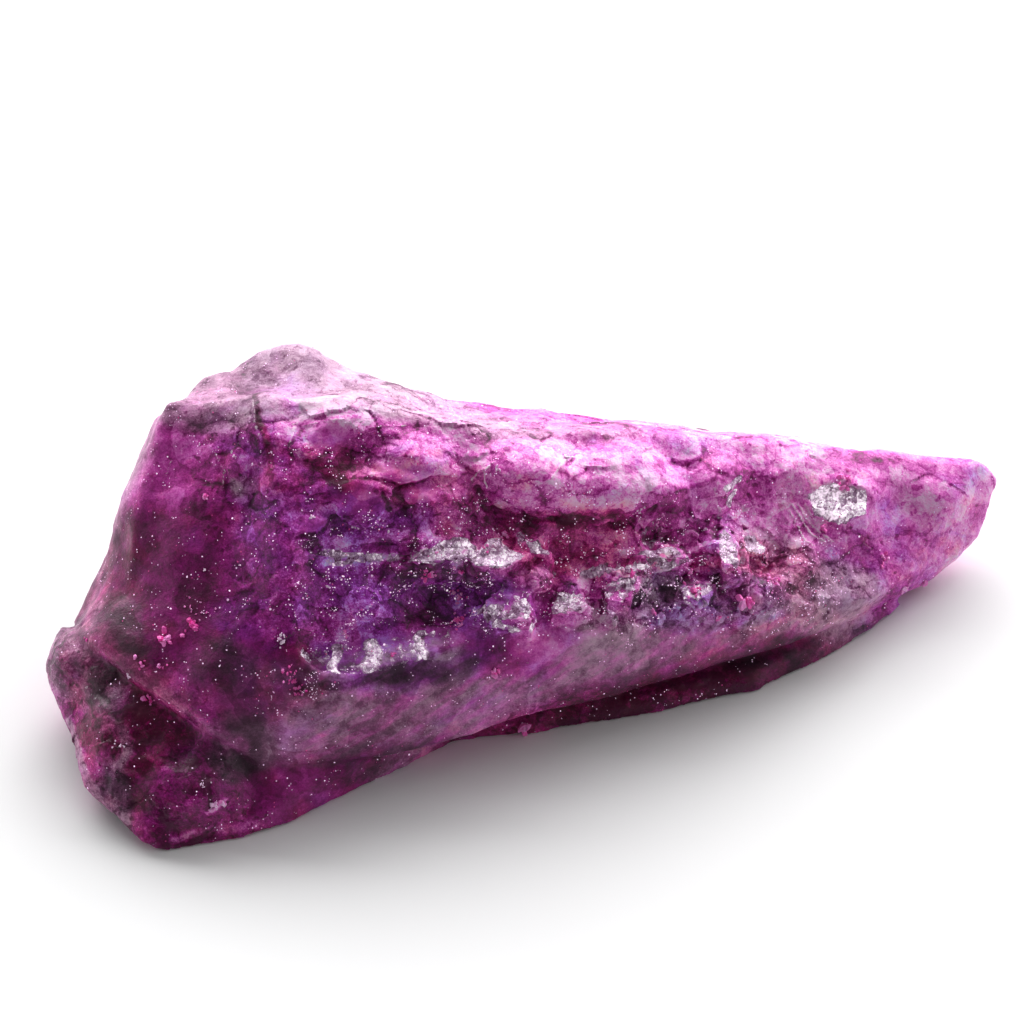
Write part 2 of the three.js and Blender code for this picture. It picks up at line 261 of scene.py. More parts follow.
def meshMask(tree, name):
    return add(tree, "GeometryNodeInputNamedAttribute", {"Name": name}, data_type="FLOAT").outputs[0]


def colourMask(tree, name, output="Fac"):
    return add(tree, "ShaderNodeAttribute", attribute_name=name).outputs[output]


def newMaterial(name):
    material = bpy.data.materials.new(name)
    material.use_nodes = True
    return material, material.node_tree, material.node_tree.nodes["Principled BSDF"]


# The stone breaks into cells. Relief and colour both read them, so that stain lies in the creases.
def cells(tree, place, size, stretch, warp, seed):
    bend = vectorCalc(tree, "SUBTRACT", noise(tree, place, size * 1.6, 2.0)["Color"], (0.5, 0.5, 0.5))
    bent = vectorCalc(tree, "ADD", place, scaled(tree, bend, warp * size))
    grid = vectorCalc(tree, "MULTIPLY", bent, (1 / (size * stretch), 1 / size, 1 / size))
    grid = vectorCalc(tree, "ADD", grid, (seed * 7.3, seed * 3.1, seed * 5.7))
    nearest = add(tree, "ShaderNodeTexVoronoi", {"Vector": grid, "Scale": 1.0}, feature="F1")
    border = add(tree, "ShaderNodeTexVoronoi", {"Vector": grid, "Scale": 1.0}, feature="DISTANCE_TO_EDGE")
    return {
        "border": border.outputs["Distance"],
        "chance": nearest.outputs["Color"],
        "away": vectorCalc(tree, "SUBTRACT", grid, nearest.outputs["Position"]),
    }


def cellRelief(tree, made, tilt, crease, creaseWidth, step, hang):
    lean = vectorCalc(tree, "SUBTRACT", made["chance"], (0.5, 0.5 + hang, 0.5 + hang))
    leaning = calc(tree, "MULTIPLY", vectorCalc(tree, "DOT_PRODUCT", made["away"], lean), tilt * 2)
    cut = ramp(tree, made["border"], 0.0, creaseWidth, -crease, 0.0)
    return total(tree, leaning, cut, centred(tree, split(tree, made["chance"])[0], step))


# from large to small: plates of the crown, chips on them, splinters of the crest and small faces of the breaks
plates = {"size": 2.4, "stretch": 1.5, "warp": 1.5, "seed": 1}
chips = {"size": 0.95, "stretch": 1.3, "warp": 1.3, "seed": 2}
splinters = {"size": 0.8, "stretch": 1.25, "warp": 0.8, "seed": 3}
faces = {"size": 0.5, "stretch": 0.8, "warp": 0.7, "seed": 4}

stone = {
    "node": "sapphire",
    "weld": 0.01,
    "firstVoxel": 0.22,     # the copy is remeshed at this size and softened
    "soften": 10,
    "softTip": {"from": 22, "to": 27, "rounds": 30},
    "swellings": [((-27.5, -9, 2.2), (2.4, 5, 2.4), 0.6), ((-29.5, -4, 5), (2, 3, 2), 0.25)],
    "voxel": 0.13,          # then remeshed with its shards at this size
    "triangles": 194000,
    "crispAngle": 34,
    "margin": 0.02,
    "plateRelief": {"tilt": 0.13, "crease": 0.03, "creaseWidth": 0.12, "step": 0.05, "hang": 0.25},
    "chipRelief": {"tilt": 0.06, "crease": 0.01, "creaseWidth": 0.15, "step": 0.02, "hang": 0.15},
    "splinterRelief": {"tilt": 0.26, "crease": 0.0, "creaseWidth": 0.1, "step": 0.16, "hang": 0.0},
    "grit": {"size": 0.6, "height": 0.22},
    "swell": {"size": 3.2, "height": 0.5},
    "facingRounds": 12,
    "reliefRounds": 10,
}

stonePiece = copied("sapphireStone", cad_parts[stone["node"]].data)
pick(stonePiece)
bpy.ops.object.mode_set(mode="EDIT")
bpy.ops.mesh.select_all(action="SELECT")
bpy.ops.mesh.remove_doubles(threshold=stone["weld"] * mm)
bpy.ops.object.mode_set(mode="OBJECT")
applied(stonePiece, "REMESH", mode="VOXEL", voxel_size=stone["firstVoxel"] * mm)
applied(stonePiece, "SMOOTH", factor=0.5, iterations=stone["soften"])
print("stone softened:", len(stonePiece.data.vertices))

# Flat breaks. Each is level ground inside its outline: its height at the middle, the way it leans, how far it
# reaches up and down, how softly its border fades, and how pale it is: partly bare of dye, partly painted sheen.
# Raised bands may run across it, painted paler still as highlights.
breaks = {
    "tread": {
        "outline": [(-14.6, -5.3), (-12.2, -4.6), (-9.6, -4.4), (-6.3, -4.1), (-4.9, -3.8), (-4.9, -5.1),
                    (-6.2, -6), (-8.8, -7.1), (-11.4, -7.5), (-12.8, -7.4), (-14.1, -6.4)],
        "top": 8.2, "lean": (0, -0.06), "reach": 1.2, "fade": 0.25, "bare": 0.28, "bandBareAndSheen": 0.85,
        "bands": [(-14.2, 0.3), (-12.05, 0.26), (-9.8, 0.42), (-6.8, 0.24)], "bandLean": 0.14, "sag": 0.16,
    },
    "ledge": {
        "outline": [(-14.4, -0.95), (-12.4, -0.8), (-9.8, -0.95), (-7.3, -1.25), (-7.3, -1.55), (-9.8, -1.5),
                    (-12.3, -1.4), (-14.4, -1.45)],
        "top": 11.9, "lean": (0, 0.1), "reach": 0.9, "fade": 0.12, "bare": 0.46, "bandBareAndSheen": 0.78,
        "bands": [(-11.9, 0.35), (-10.6, 0.75)], "bandLean": 0.12, "sag": 0.03,
    },
    # a facet painted near white: a painted reflection of the lamp on bare stone
    "paintedSheen": {
        "outline": [(17.4, 6.6), (18.2, 7.3), (19, 7.5), (21.1, 7.2), (21.3, 5.9), (20.3, 5.4), (19.2, 5.3),
                    (17.9, 5.7)],
        "top": 7.85, "lean": (0.05, -0.3), "reach": 1.2, "fade": 0.2, "bare": 0.97,
    },
    "plateWide": {
        "outline": [(-9.9, 3.4), (-9.2, 3.6), (-7.9, 3.3), (-6.6, 2.9), (-5.5, 2.8), (-6.9, 2.1), (-8.2, 2),
                    (-9.2, 2.4)],
        "top": 15.4, "lean": (0.05, -0.6), "reach": 0.7, "fade": 0.3, "bare": 0,
    },
    "plateSmall": {
        "outline": [(-8, 1.8), (-6.9, 2.1), (-5.5, 1.9), (-5.8, 1.4), (-6.9, 1.1), (-7.8, 1.2)],
        "top": 14.55, "lean": (0.04, -0.6), "reach": 0.6, "fade": 0.25, "bare": 0,
    },
    "plateLeft": {
        "outline": [(-12.6, 1.7), (-10.9, 2), (-9.9, 1.7), (-9.1, 1), (-8.9, 0.7), (-9.9, 0.2), (-11.7, 0.4)],
        "top": 14.55, "lean": (0.02, -0.8), "reach": 0.7, "fade": 0.3, "bare": 0,
    },
    "plateCorner": {
        "outline": [(-14, 0.2), (-12.4, 0.4), (-12.9, -0.3), (-14.2, -0.8)],
        "top": 13.75, "lean": (0.3, -0.6), "reach": 0.6, "fade": 0.25, "bare": 0,
    },
    "plateHigh": {
        "outline": [(-13.7, 4.8), (-12.2, 5), (-11, 4.7), (-11, 4.2), (-12.4, 3.6), (-13.6, 3.8)],
        "top": 16.62, "lean": (-0.02, -0.76), "reach": 0.6, "fade": 0.3, "bare": 0,
    },
}


# how far each point is inside a convex outline, in plan
def insideOutline(x, y, outline):
    corners = np.array(outline, float)
    middle = corners.mean(0)
    depth = np.full(len(x), np.inf)
    for a, b in zip(corners, np.roll(corners, -1, 0)):
        across = np.array([b[1] - a[1], a[0] - b[0]])
        across /= np.linalg.norm(across)
        if (middle - a) @ across < 0:
            across = -across
        depth = np.minimum(depth, (x - a[0]) * across[0] + (y - a[1]) * across[1])
    return depth


# the level of a flat break at each place, and how much of a band is there
def planeOf(x, y, item):
    middle = np.mean(item["outline"], 0)
    plane = item["top"] - item["lean"][0] * (x - middle[0]) - item["lean"][1] * (y - middle[1])
    band = np.zeros(len(x))
    for at, half in item.get("bands", []):
        band = np.maximum(band, 1 - soft(np.abs(x - at - 0.15 * np.sin(y * 3)), half * 0.6, half * 1.5))
    if "bands" in item:
        turn = item["lean"][1] - item["bandLean"]
        plane = plane + band * turn * (y - middle[1]) + (band - 1) * item["sag"]
    return plane, band


# the skin moved up or down to a flat break's level
def levelled(places, normals, item):
    x, y, z = places.T
    plane, _ = planeOf(x, y, item)
    inside = soft(insideOutline(x, y, item["outline"]), 0, item["fade"])
    near = (np.abs(plane - z) < item["reach"]) & (normals[:, 2] > 0.05)
    moved = places.copy()
    moved[:, 2] += inside * near * (plane - z)
    return moved


# the tip is worn smooth, and the toe swells
places, normals = skinOf(stonePiece)
softTip = stone["softTip"]
tipShare = soft(places[:, 0], softTip["from"], softTip["to"])[:, None]
places += tipShare * (blurred(stonePiece, places, softTip["rounds"]) - places)
outwards = facingOf(stonePiece, normals)
for middle, reach, amount in stone["swellings"]:
    share = np.exp(-(((places - middle) / reach) ** 2).sum(1))
    places += outwards * (share * amount * (outwards[:, 0] < 0.2))[:, None]
for item in breaks.values():
    places = levelled(places, normals, item)
moveSkin(stonePiece, places)

# Angular shards stand on the stone. Each outline is its top seen from above. Its top is painted pale, partly
# bare of dye and partly painted sheen, and paler towards one side as a painted highlight.
shards = {
    "crestLeft": {
        "outline": [(-7.8, -1.6), (-7, -0.7), (-6.3, -0.2), (-4, 0.3), (-3.4, -0.3), (-4.2, -1.3),
                    (-6.2, -1.6)],
        "top": 11.75, "lean": (-0.03, 0.1), "bare": 0.66, "paintedSheen": (0.5, 0.3),
    },
    "crestMid": {
        "outline": [(-3.6, -1.7), (-4, -0.9), (-2, 0.3), (-1.2, -0.2), (-0.1, -0.5), (-0.7, -1.1),
                    (-1.8, -1.8)],
        "top": 11.5, "lean": (0.05, 0.12), "bare": 0.66, "paintedSheen": (0.4, -0.6),
    },
    "crestTop": {
        "outline": [(-2.9, 0), (-2.5, 0.4), (-1.8, 0.3), (-2, -0.2), (-3.2, -0.9)],
        "top": 11.9, "lean": (0, 0.1), "bare": 0.8,
    },
    "crestRight": {
        "outline": [(-1.1, 1.2), (-0.7, 1.3), (-0.1, 0.4), (-0.9, 0.1)],
        "top": 11.3, "lean": (0.1, 0.1), "bare": 0.5,
    },
    "spike": {
        "outline": [(-0.4, 0.7), (0.1, 0.7), (1.2, -0.1), (1.1, -0.4), (-0.1, -0.2)],
        "top": 10.9, "lean": (0, 0.12), "bare": 0.7,
    },
    "block": {
        "outline": [(-2.9, -2.9), (-2, -2.2), (-0.1, -2.4), (0, -3.8), (-0.3, -4.3), (-1.8, -4.3),
                    (-2.8, -3.7)],
        "top": 9.8, "lean": (-0.05, -0.2), "bare": 0.36, "paintedSheen": (0.2, -0.8),
    },
    "triangle": {
        "outline": [(2.2, -0.2), (3, -1.1), (3.6, -2.6), (2.5, -3.1), (1.2, -3.2), (1.2, -2.6)],
        "top": 8.7, "lean": (-0.05, 0.08), "bare": 0.5, "paintedSheen": (-0.7, -0.5),
    },
    "rowLeft": {
        "outline": [(6, 1), (7.3, 1.4), (8.5, 2), (9.2, 1.4), (9.7, 0.8), (8.9, 0.6), (7.6, 0.7), (6.7, 0.4)],
        "top": 9.4, "lean": (0, 0.12), "bare": 0.62, "paintedSheen": (0.3, 0.3),
    },
    "rowLow": {
        "outline": [(5.3, 0), (6.3, -0.1), (6.7, -0.7), (6.2, -1.4), (5.9, -2.2), (4.6, -2.3), (4.4, -1.5)],
        "top": 8.7, "lean": (-0.04, 0.06), "bare": 0.42, "paintedSheen": (0.3, 0.4),
    },
    "rowMid": {
        "outline": [(9.2, -0.2), (10.5, 0.3), (11.5, 0.2), (11.4, -0.5), (10.3, -1.2), (9.4, -1)],
        "top": 7.65, "lean": (0.05, 0.05), "bare": 0.46, "paintedSheen": (-0.4, -0.3),
    },
    "column": {
        "outline": [(11.6, 3.2), (12.2, 3.9), (12.8, 2.2), (12.8, 0.7), (11.9, 0.5), (11.6, 1.5)],
        "top": 8.95, "lean": (-0.04, 0.02), "bare": 0.55, "paintedSheen": (-0.6, -0.3),
    },
    "rowRight": {
        "outline": [(13.2, 3.6), (13.8, 3.9), (14.7, 3.3), (14.6, 2.6), (13.5, 2.7)],
        "top": 7.5, "lean": (0.1, 0.05), "bare": 0.55,
    },
}
shardDepth, shardSplay = 2.0, 1.25


def addShard(item):
    outline = item["outline"]
    middle = np.mean(outline, 0)
    shard = fresh(bpy.ops.mesh.primitive_circle_add, vertices=len(outline), radius=mm, fill_type="NGON")
    for vertex, (x, y) in zip(shard.data.vertices, outline):
        drop = item["lean"][0] * (x - middle[0]) + item["lean"][1] * (y - middle[1])
        vertex.co = Vector((x, y, item["top"] - drop)) * mm
    bpy.ops.object.mode_set(mode="EDIT")
    bpy.ops.mesh.select_all(action="SELECT")
    bpy.ops.mesh.extrude_region_move(TRANSFORM_OT_translate={"value": (0, 0, -shardDepth * mm)})
    foot = (middle[0] * mm, middle[1] * mm, 0)
    bpy.ops.transform.resize(value=(shardSplay, shardSplay, 1), center_override=foot)
    bpy.ops.mesh.select_all(action="SELECT")
    bpy.ops.mesh.normals_make_consistent(inside=False)
    bpy.ops.object.mode_set(mode="OBJECT")
    return shard


# Rounded scales lie on the skin: middle, half width, half height, lift of the lower edge and thickness
scales = [
    ((-10.3, -3.8, 10.4), 1.15, 1.15, 0.2, 0.22), ((-15.9, 2.2, 15), 0.7, 1.1, 0.2, 0.2),
    ((-18, 3.4, 15.2), 0.8, 1.2, 0.2, 0.2), ((0.4, -1.2, 9.7), 1.2, 0.9, 0.1, 0.7),
    ((-8, -1.4, 11.5), 1, 0.4, 0.1, 0.25),
]
scaleForm = {"lower": (0, -0.6, -1), "tilt": 0.35, "flatness": 0.6}


def addScale(middle, halfWidth, halfHeight, lift, thickness):
    _, place, normal, _ = stonePiece.closest_point_on_mesh(Vector(middle) * mm)
    lower = Vector(scaleForm["lower"])
    lower = (lower - normal * lower.dot(normal)).normalized()
    axis = (normal - lower * lift / halfHeight * scaleForm["tilt"]).normalized()
    across = axis.cross(lower).normalized()
    scale = fresh(bpy.ops.mesh.primitive_ico_sphere_add, subdivisions=3, radius=mm)
    for vertex in scale.data.vertices:
        local = vertex.co.copy()
        flat = math.copysign(abs(local.z / mm) ** scaleForm["flatness"], local.z) * mm
        vertex.co = place + across * local.x * halfWidth - (axis.cross(across)) * local.y * halfHeight \
            + axis * (flat * thickness)
    return scale


extraPieces = [addShard(item) for item in shards.values()] + [addScale(*item) for item in scales]
pick(stonePiece, *extraPieces)
bpy.ops.object.join()
applied(stonePiece, "REMESH", mode="VOXEL", voxel_size=stone["voxel"] * mm)
print("stone with shards and scales:", len(stonePiece.data.vertices))

# Lines over the skin: how deep a crease cuts or how high a ridge stands, its width, how marked it is, its
# points.
# Ridges are also painted pale along their length, partly as wear and partly as painted glints.
creases = [
    (0.22, 0.34, 0.6, [(-3.4, 2.8, 13.6), (-2.8, 2.3, 12.3), (-1.7, 2.2, 11.9), (-0.4, 1.9, 11.9),
     (1.7, 2, 11.5), (4.2, 2, 10.6), (6.1, 2.6, 10.6), (7, 2.9, 11), (7.6, 3.1, 11.3)]),
    (0.03, 0.22, 0.7, [(-10.9, 2.2, 15.2), (-9, 2.2, 15.1), (-8, 2.1, 14.8), (-6.9, 2.2, 14.9),
     (-6.2, 2.5, 15.1), (-5.1, 2.8, 14.7)]),
    (0.02, 0.2, 0.7, [(-7.9, 1.4, 14.3), (-7.5, 1.2, 14), (-6.6, 1.1, 13.9), (-6.1, 1.1, 14.1)]),
    (0.06, 0.26, 0.8, [(-9.2, 1.3, 14.8), (-9, 1.1, 14.5), (-8.7, 0.8, 13.9)]),
    (0.02, 0.2, 0.5, [(2.3, 2.7, 13.9), (3, 2.9, 13.6), (3.9, 3.3, 13.5)]),
    (0.08, 0.2, 0.6, [(-17.3, 1.4, 13.7), (-16.9, 1, 13.7), (-16.2, 0.8, 14.1), (-15.8, 0.9, 14.4)]),
    (0.08, 0.18, 0.7, [(-17.3, 1.3, 13.7), (-17, 1.9, 14.2)]),
    (0.06, 0.2, 0.8, [(-19.8, -11.8, 3.7), (-19.7, -12.6, 3.4), (-19.6, -13.2, 2.2)]),
    (0.03, 0.26, 0.5, [(-20.5, 1, 12.8), (-20.7, 1.7, 13.2), (-20.3, 2.7, 13.8), (-19.7, 3, 14.1)]),
    (0.06, 0.26, 0.8, [(2.1, 3.9, 14.4), (2.5, 4.7, 14.2)]),
    (0.06, 0.26, 0.8, [(-14.3, -1.1, 13.5), (-12.9, -0.4, 13.2), (-12.2, 0.2, 13.6)]),
    (0.05, 0.5, 0.6, [(-12.6, -8.1, 7.8), (-10.8, -7.8, 7.6), (-9, -6.8, 7.6), (-7.2, -6.2, 7.7),
     (-5.1, -5.4, 8)]),
]
ridges = [
    (0.045, 0.13, 0.62, [(-17.1, 6.8, 17.2), (-17, 6.1, 17.1), (-16.9, 4.9, 16.8), (-16.6, 4.4, 16.6)]),
    (0.09, 0.115, 0.9, [(-2.4, 3.6, 15.1), (-2.9, 3.2, 14.8), (-2.9, 2.9, 14.2), (-2.8, 2.6, 13.8)]),
    (0.072, 0.115, 0.8, [(-3.7, 3.1, 14.1), (-3.2, 3.3, 14.7)]),
    (0.063, 0.108, 0.9, [(16.2, 5.7, 8.1), (16.8, 4.9, 7.3), (17.3, 4.1, 7), (17.8, 4, 6.6)]),
    (0.063, 0.101, 1, [(16.4, 6, 8.3), (17.1, 5.3, 7.5), (17.6, 4.7, 6.9), (18.5, 4.4, 6.5)]),
    (0.054, 0.101, 0.9, [(16.8, 6.1, 8.2), (17.3, 5.5, 7.5), (18, 4.9, 7), (19, 4.5, 6.4)]),
    (0.045, 0.094, 0.8, [(17.2, 6.2, 8.1), (17.7, 5.6, 7.5), (18.2, 5, 7.1)]),
    (0.054, 0.144, 0.75, [(-14.4, 5.4, 16.9), (-14.5, 5.2, 16.8), (-14.8, 4.1, 16.5)]),
    (0.054, 0.144, 0.55, [(-20.1, 5.4, 15.3), (-19.5, 4.4, 15.1), (-18.8, 3.4, 14.6), (-19, 2.3, 14)]),
    (0.036, 0.101, 0.6, [(-22.2, 4.6, 14.1), (-22.7, 3.6, 13.3)]),
    (0.054, 0.115, 0.6, [(-14.1, 5.2, 16.7), (-13, 5.2, 17.1), (-12.4, 5.2, 17.2), (-11.5, 5.2, 17.3)]),
    (0.045, 0.115, 0.6, [(-9.9, 4.9, 16.9), (-8.6, 5.3, 16.6), (-7.8, 5.5, 16.3)]),
    (0.09, 0.158, 0.8, [(1.3, 2.8, 14.7), (1.5, 3.3, 14.7), (2.1, 4.5, 14.4)]),
    (0.036, 0.13, 0.6, [(2.5, 4.8, 14.2), (3.4, 5.1, 13.8), (4.8, 4.9, 13.8)]),
    (0.09, 0.144, 0.9, [(-7.2, -1.2, 11.8), (-6.7, -1, 12.3), (-6.5, -0.9, 12.3)]),
    (0.1, 0.4, 0.25, [(-29.3, -3, 4.9), (-27.9, -5.3, 4.8), (-26.2, -7.7, 5), (-25.2, -9.8, 4.1),
     (-25.6, -11.6, 1.9)]),
]

# Plates overlap like shingles: how far each lower edge stands out, how fast that fades upwards, and its points
lips = [
    (0.34, 1.3, [(-10.9, 2.2, 15.2), (-9, 2.2, 15.1), (-8, 2.1, 14.8), (-6.9, 2.2, 14.9), (-6.2, 2.5, 15.1),
     (-5.1, 2.8, 14.7), (-4.2, 3, 14.5)]),
    (0.3, 0.9, [(-8.4, 1.9, 14.6), (-7.9, 1.4, 14.3), (-7.5, 1.2, 14), (-6.6, 1.1, 13.9), (-6.1, 1.1, 14.1),
     (-5.6, 1.7, 14.3)]),
    (0.34, 1.1, [(-12.3, 1, 14.5), (-11.6, 0.1, 13.6), (-10.5, -0.3, 13.2), (-9.4, 0.1, 13.5),
     (-8.8, 0.8, 14.1)]),
    (0.26, 0.8, [(-14.6, 3.8, 16.2), (-13.4, 3.2, 15.9), (-12.3, 3.2, 15.8), (-11.3, 3.9, 16.2)]),
    (0.3, 0.8, [(-9, 0, 12.9), (-8, -0.5, 12.3), (-6.8, -0.5, 12.3), (-5.8, 0.2, 12.8)]),
    (0.14, 1, [(-6, 4.3, 15.5), (-4.6, 3.9, 15.2), (-3.3, 4, 15.2), (-2.2, 4.6, 15.4)]),
    (0.14, 0.9, [(-11.8, 5.4, 17), (-10.4, 4.7, 16.7), (-8.8, 4.5, 16.4), (-7.2, 4.9, 16.3)]),
    (0.3, 0.8, [(-14.6, -1.2, 13.3), (-13.6, -0.8, 13), (-12.6, -0.3, 13.2), (-12, 0.4, 13.7)]),
    (0.09, 1, [(7.6, 5.7, 12.9), (8.7, 6.6, 11.8), (9.6, 6.5, 11.6), (10.5, 6.8, 11.6), (11.2, 7.6, 11.7)]),
    (0.09, 1, [(8.2, 4, 12.3), (8.9, 3.9, 11.7), (10, 4.9, 11), (10.7, 5.3, 11), (11.7, 5.8, 11)]),
    (0.09, 0.9, [(11.2, 6.4, 11.4), (12.2, 6.2, 10.9), (13.4, 6.4, 10.5), (14.2, 7.1, 10.5)]),
    (0.09, 0.8, [(2.2, 4.6, 14.2), (3.4, 4.3, 13.8), (4.8, 4.4, 13.5), (5.8, 5, 13.4)]),
    (0.16, 0.8, [(-16.9, 5.4, 16.9), (-16.2, 4.2, 16.2), (-15.2, 3.9, 16.1)]),
]


# heights above the lower edges, with a shallow groove below them
def lipped(places, facing):
    heights, groove, depth = np.zeros(len(places)), 0.3, 0.25
    for height, fade, line in lips:
        away, share = beside(places, facing, line)
        above = np.where(np.isfinite(away), soft(away, -0.08, 0.06) * np.exp(-np.maximum(away, 0) / fade), 0)
        below = np.where(np.isfinite(away), np.exp(-((away + groove) / groove) ** 2), 0)
        taper = soft(np.sin(share * math.pi), 0, 0.7)
        heights = heights + taper * height * (above - depth * below)
    return heights


# how strongly lines mark each place, and their height there
def linesOn(places, facing, lines):
    marks, heights = np.zeros(len(places)), np.zeros(len(places))
    for height, width, strength, line in lines:
        share = drawn(places, facing, line, width)
        marks = np.maximum(marks, share * strength)
        heights = np.maximum(heights, share * height)
    return marks, heights


# Where the stone breaks up (crumble) and where it is splintered: middle, reach and how much
crumbleSpots = [
    ((-10, 3, 15), (7, 4, 3), 0.8), ((4, 4, 13), (6, 3, 3), 0.55), ((10, 8, 11.5), (7, 4, 3), 0.5),
    ((-22, 0, 10), (5, 7, 5), 0.16), ((-16, 1, 13.5), (2.5, 5, 3), 0.5), ((-11, -2.8, 10.6), (4, 2, 1.6), 0.8),
    ((-9, -8.5, 5), (6, 2.5, 3), 0.12), ((6, -3.4, 5.5), (8, 2, 2), 0.12), ((17, -0.4, 4), (5, 2, 2), 0.15),
    ((24, 7, 5), (5, 5, 3), 0.4), ((-25, -9, 3.5), (4, 5, 3), 0.5), ((6, -5, 2), (14, 2, 1.4), 0.55),
    ((10, 1, 8), (8, 3, 2), 0.6), ((0, 12.5, 8), (25, 3, 6), 0.45), ((-16, 10, 16), (4, 3, 2), 0.3),
    ((20, 3, 5), (3, 2.5, 2), 0.5),
]
splinterSpots = [
    ((-4, -0.6, 11), (3, 1, 1.2), 0.45), ((-0.8, -1.2, 10.5), (2, 2, 1.6), 0.5),
    ((7, 0.2, 8.6), (4, 1.8, 1.4), 0.9), ((13, 1.6, 7.2), (4, 1.8, 1.4), 0.75),
    ((17, 2.6, 5.6), (2, 1.6, 1.4), 0.5), ((-6, -1.6, 10.4), (2.5, 0.8, 1), 0.6),
    ((4, 1, 10.2), (4, 1, 1), 0.3), ((0, -8, 4), (25, 5, 3), 0), ((0, 8, 14), (25, 5, 3), 0),
    ((-20, -2, 10), (8, 8, 6), 0), ((25, 7, 4), (5, 6, 4), 0), ((-26, -9, 3), (4, 4, 3), 0.15),
    ((-10, -3, 10.4), (3, 1.2, 1.4), 0.1), ((18, 6, 8), (2.5, 2, 1.5), 0.2),
]

# a place lies on a flat break if it is inside the outline, near its level and faces up; glow paints one side
# paler, a painted highlight
flatness = {"border": (-0.1, 0.14), "near": 0.45, "upright": 0.45, "glow": 0.25}


# how much each place lies on a flat break or shard, and how pale that one is painted: bare of dye and painted
# sheen
def facetShares(places, facing):
    x, y, z = places.T
    flat, bare = np.zeros(len(x)), np.zeros(len(x))
    for item in [*breaks.values(), *shards.values()]:
        middle = np.mean(item["outline"], 0)
        across, along = item.get("paintedSheen", (0, 0))
        glow = flatness["glow"] * np.tanh(across * (x - middle[0]) + along * (y - middle[1]))
        plane, band = planeOf(x, y, item)
        inside = soft(insideOutline(x, y, item["outline"]), *flatness["border"])
        inside = inside * (np.abs(z - plane) < flatness["near"]) * (facing[:, 2] > flatness["upright"])
        flat = np.maximum(flat, inside)
        barer = band * (item.get("bandBareAndSheen", 1) - item["bare"])
        bare = np.maximum(bare, inside * (item["bare"] + glow + barer))
    return flat, bare


places, normals = skinOf(stonePiece)
facing = facingOf(stonePiece, normals)
_, cuts = linesOn(places, facing, creases)
_, stands = linesOn(places, facing, ridges)
moveSkin(stonePiece, places + facing * (stands - cuts + lipped(places, facing))[:, None])
flat, _ = facetShares(places, facing)
underneath = soft(-facing[:, 2], 0.3, 0.8)
storeMask(stonePiece, "crumble", spread(places, crumbleSpots) * (1 - 0.85 * flat) * (1 - 0.7 * underneath))
storeMask(stonePiece, "splinter", spread(places, splinterSpots) * (1 - 0.6 * flat))


def reliefTree():
    tree, source = meshTree("stoneRelief")
    place = scaled(tree, add(tree, "GeometryNodeInputPosition").outputs[0], 1 / mm)
    kept = add(
        tree, "GeometryNodeStoreNamedAttribute",
        {"Geometry": source, "Name": "skin", "Value": place},
        data_type="FLOAT_VECTOR", domain="POINT",
    )
    crumble, splinter = meshMask(tree, "crumble"), meshMask(tree, "splinter")
    broken = total(
        tree,
        cellRelief(tree, cells(tree, place, **plates), **stone["plateRelief"]),
        cellRelief(tree, cells(tree, place, **chips), **stone["chipRelief"]),
        centred(tree, noise(tree, place, stone["grit"]["size"])["Fac"], stone["grit"]["height"]),
    )
    splintered = cellRelief(tree, cells(tree, place, **splinters), **stone["splinterRelief"])
    swell = centred(tree, noise(tree, place, stone["swell"]["size"], 2.0)["Fac"], stone["swell"]["height"])
    swell = product(tree, swell, ramp(tree, crumble, 0, 0.15))
    height = total(tree, swell, product(tree, broken, crumble), product(tree, splintered, splinter))
    facing = add(
        tree, "GeometryNodeBlurAttribute",
        {"Value": add(tree, "GeometryNodeInputNormal").outputs[0], "Iterations": stone["reliefRounds"]},
        data_type="FLOAT_VECTOR",
    ).outputs[0]
    outwards = vectorCalc(tree, "NORMALIZE", facing, (0, 0, 0))
    moved = add(
        tree, "GeometryNodeSetPosition",
        {"Geometry": kept.outputs[0], "Offset": scaled(tree, outwards, calc(tree, "MULTIPLY", height, mm))},
    )
    add(tree, "NodeGroupOutput", {0: moved.outputs[0]})
    return tree


applied(stonePiece, "NODES", node_group=reliefTree())
print("stone broken up")

# the faces are still squares, two triangles each
applied(stonePiece, "DECIMATE", ratio=stone["triangles"] / (2 * len(stonePiece.data.polygons)))
keepInBox(stonePiece)
pick(stonePiece)
bpy.ops.object.shade_smooth_by_angle(angle=math.radians(stone["crispAngle"]))
print("stone thinned:", len(stonePiece.data.polygons))
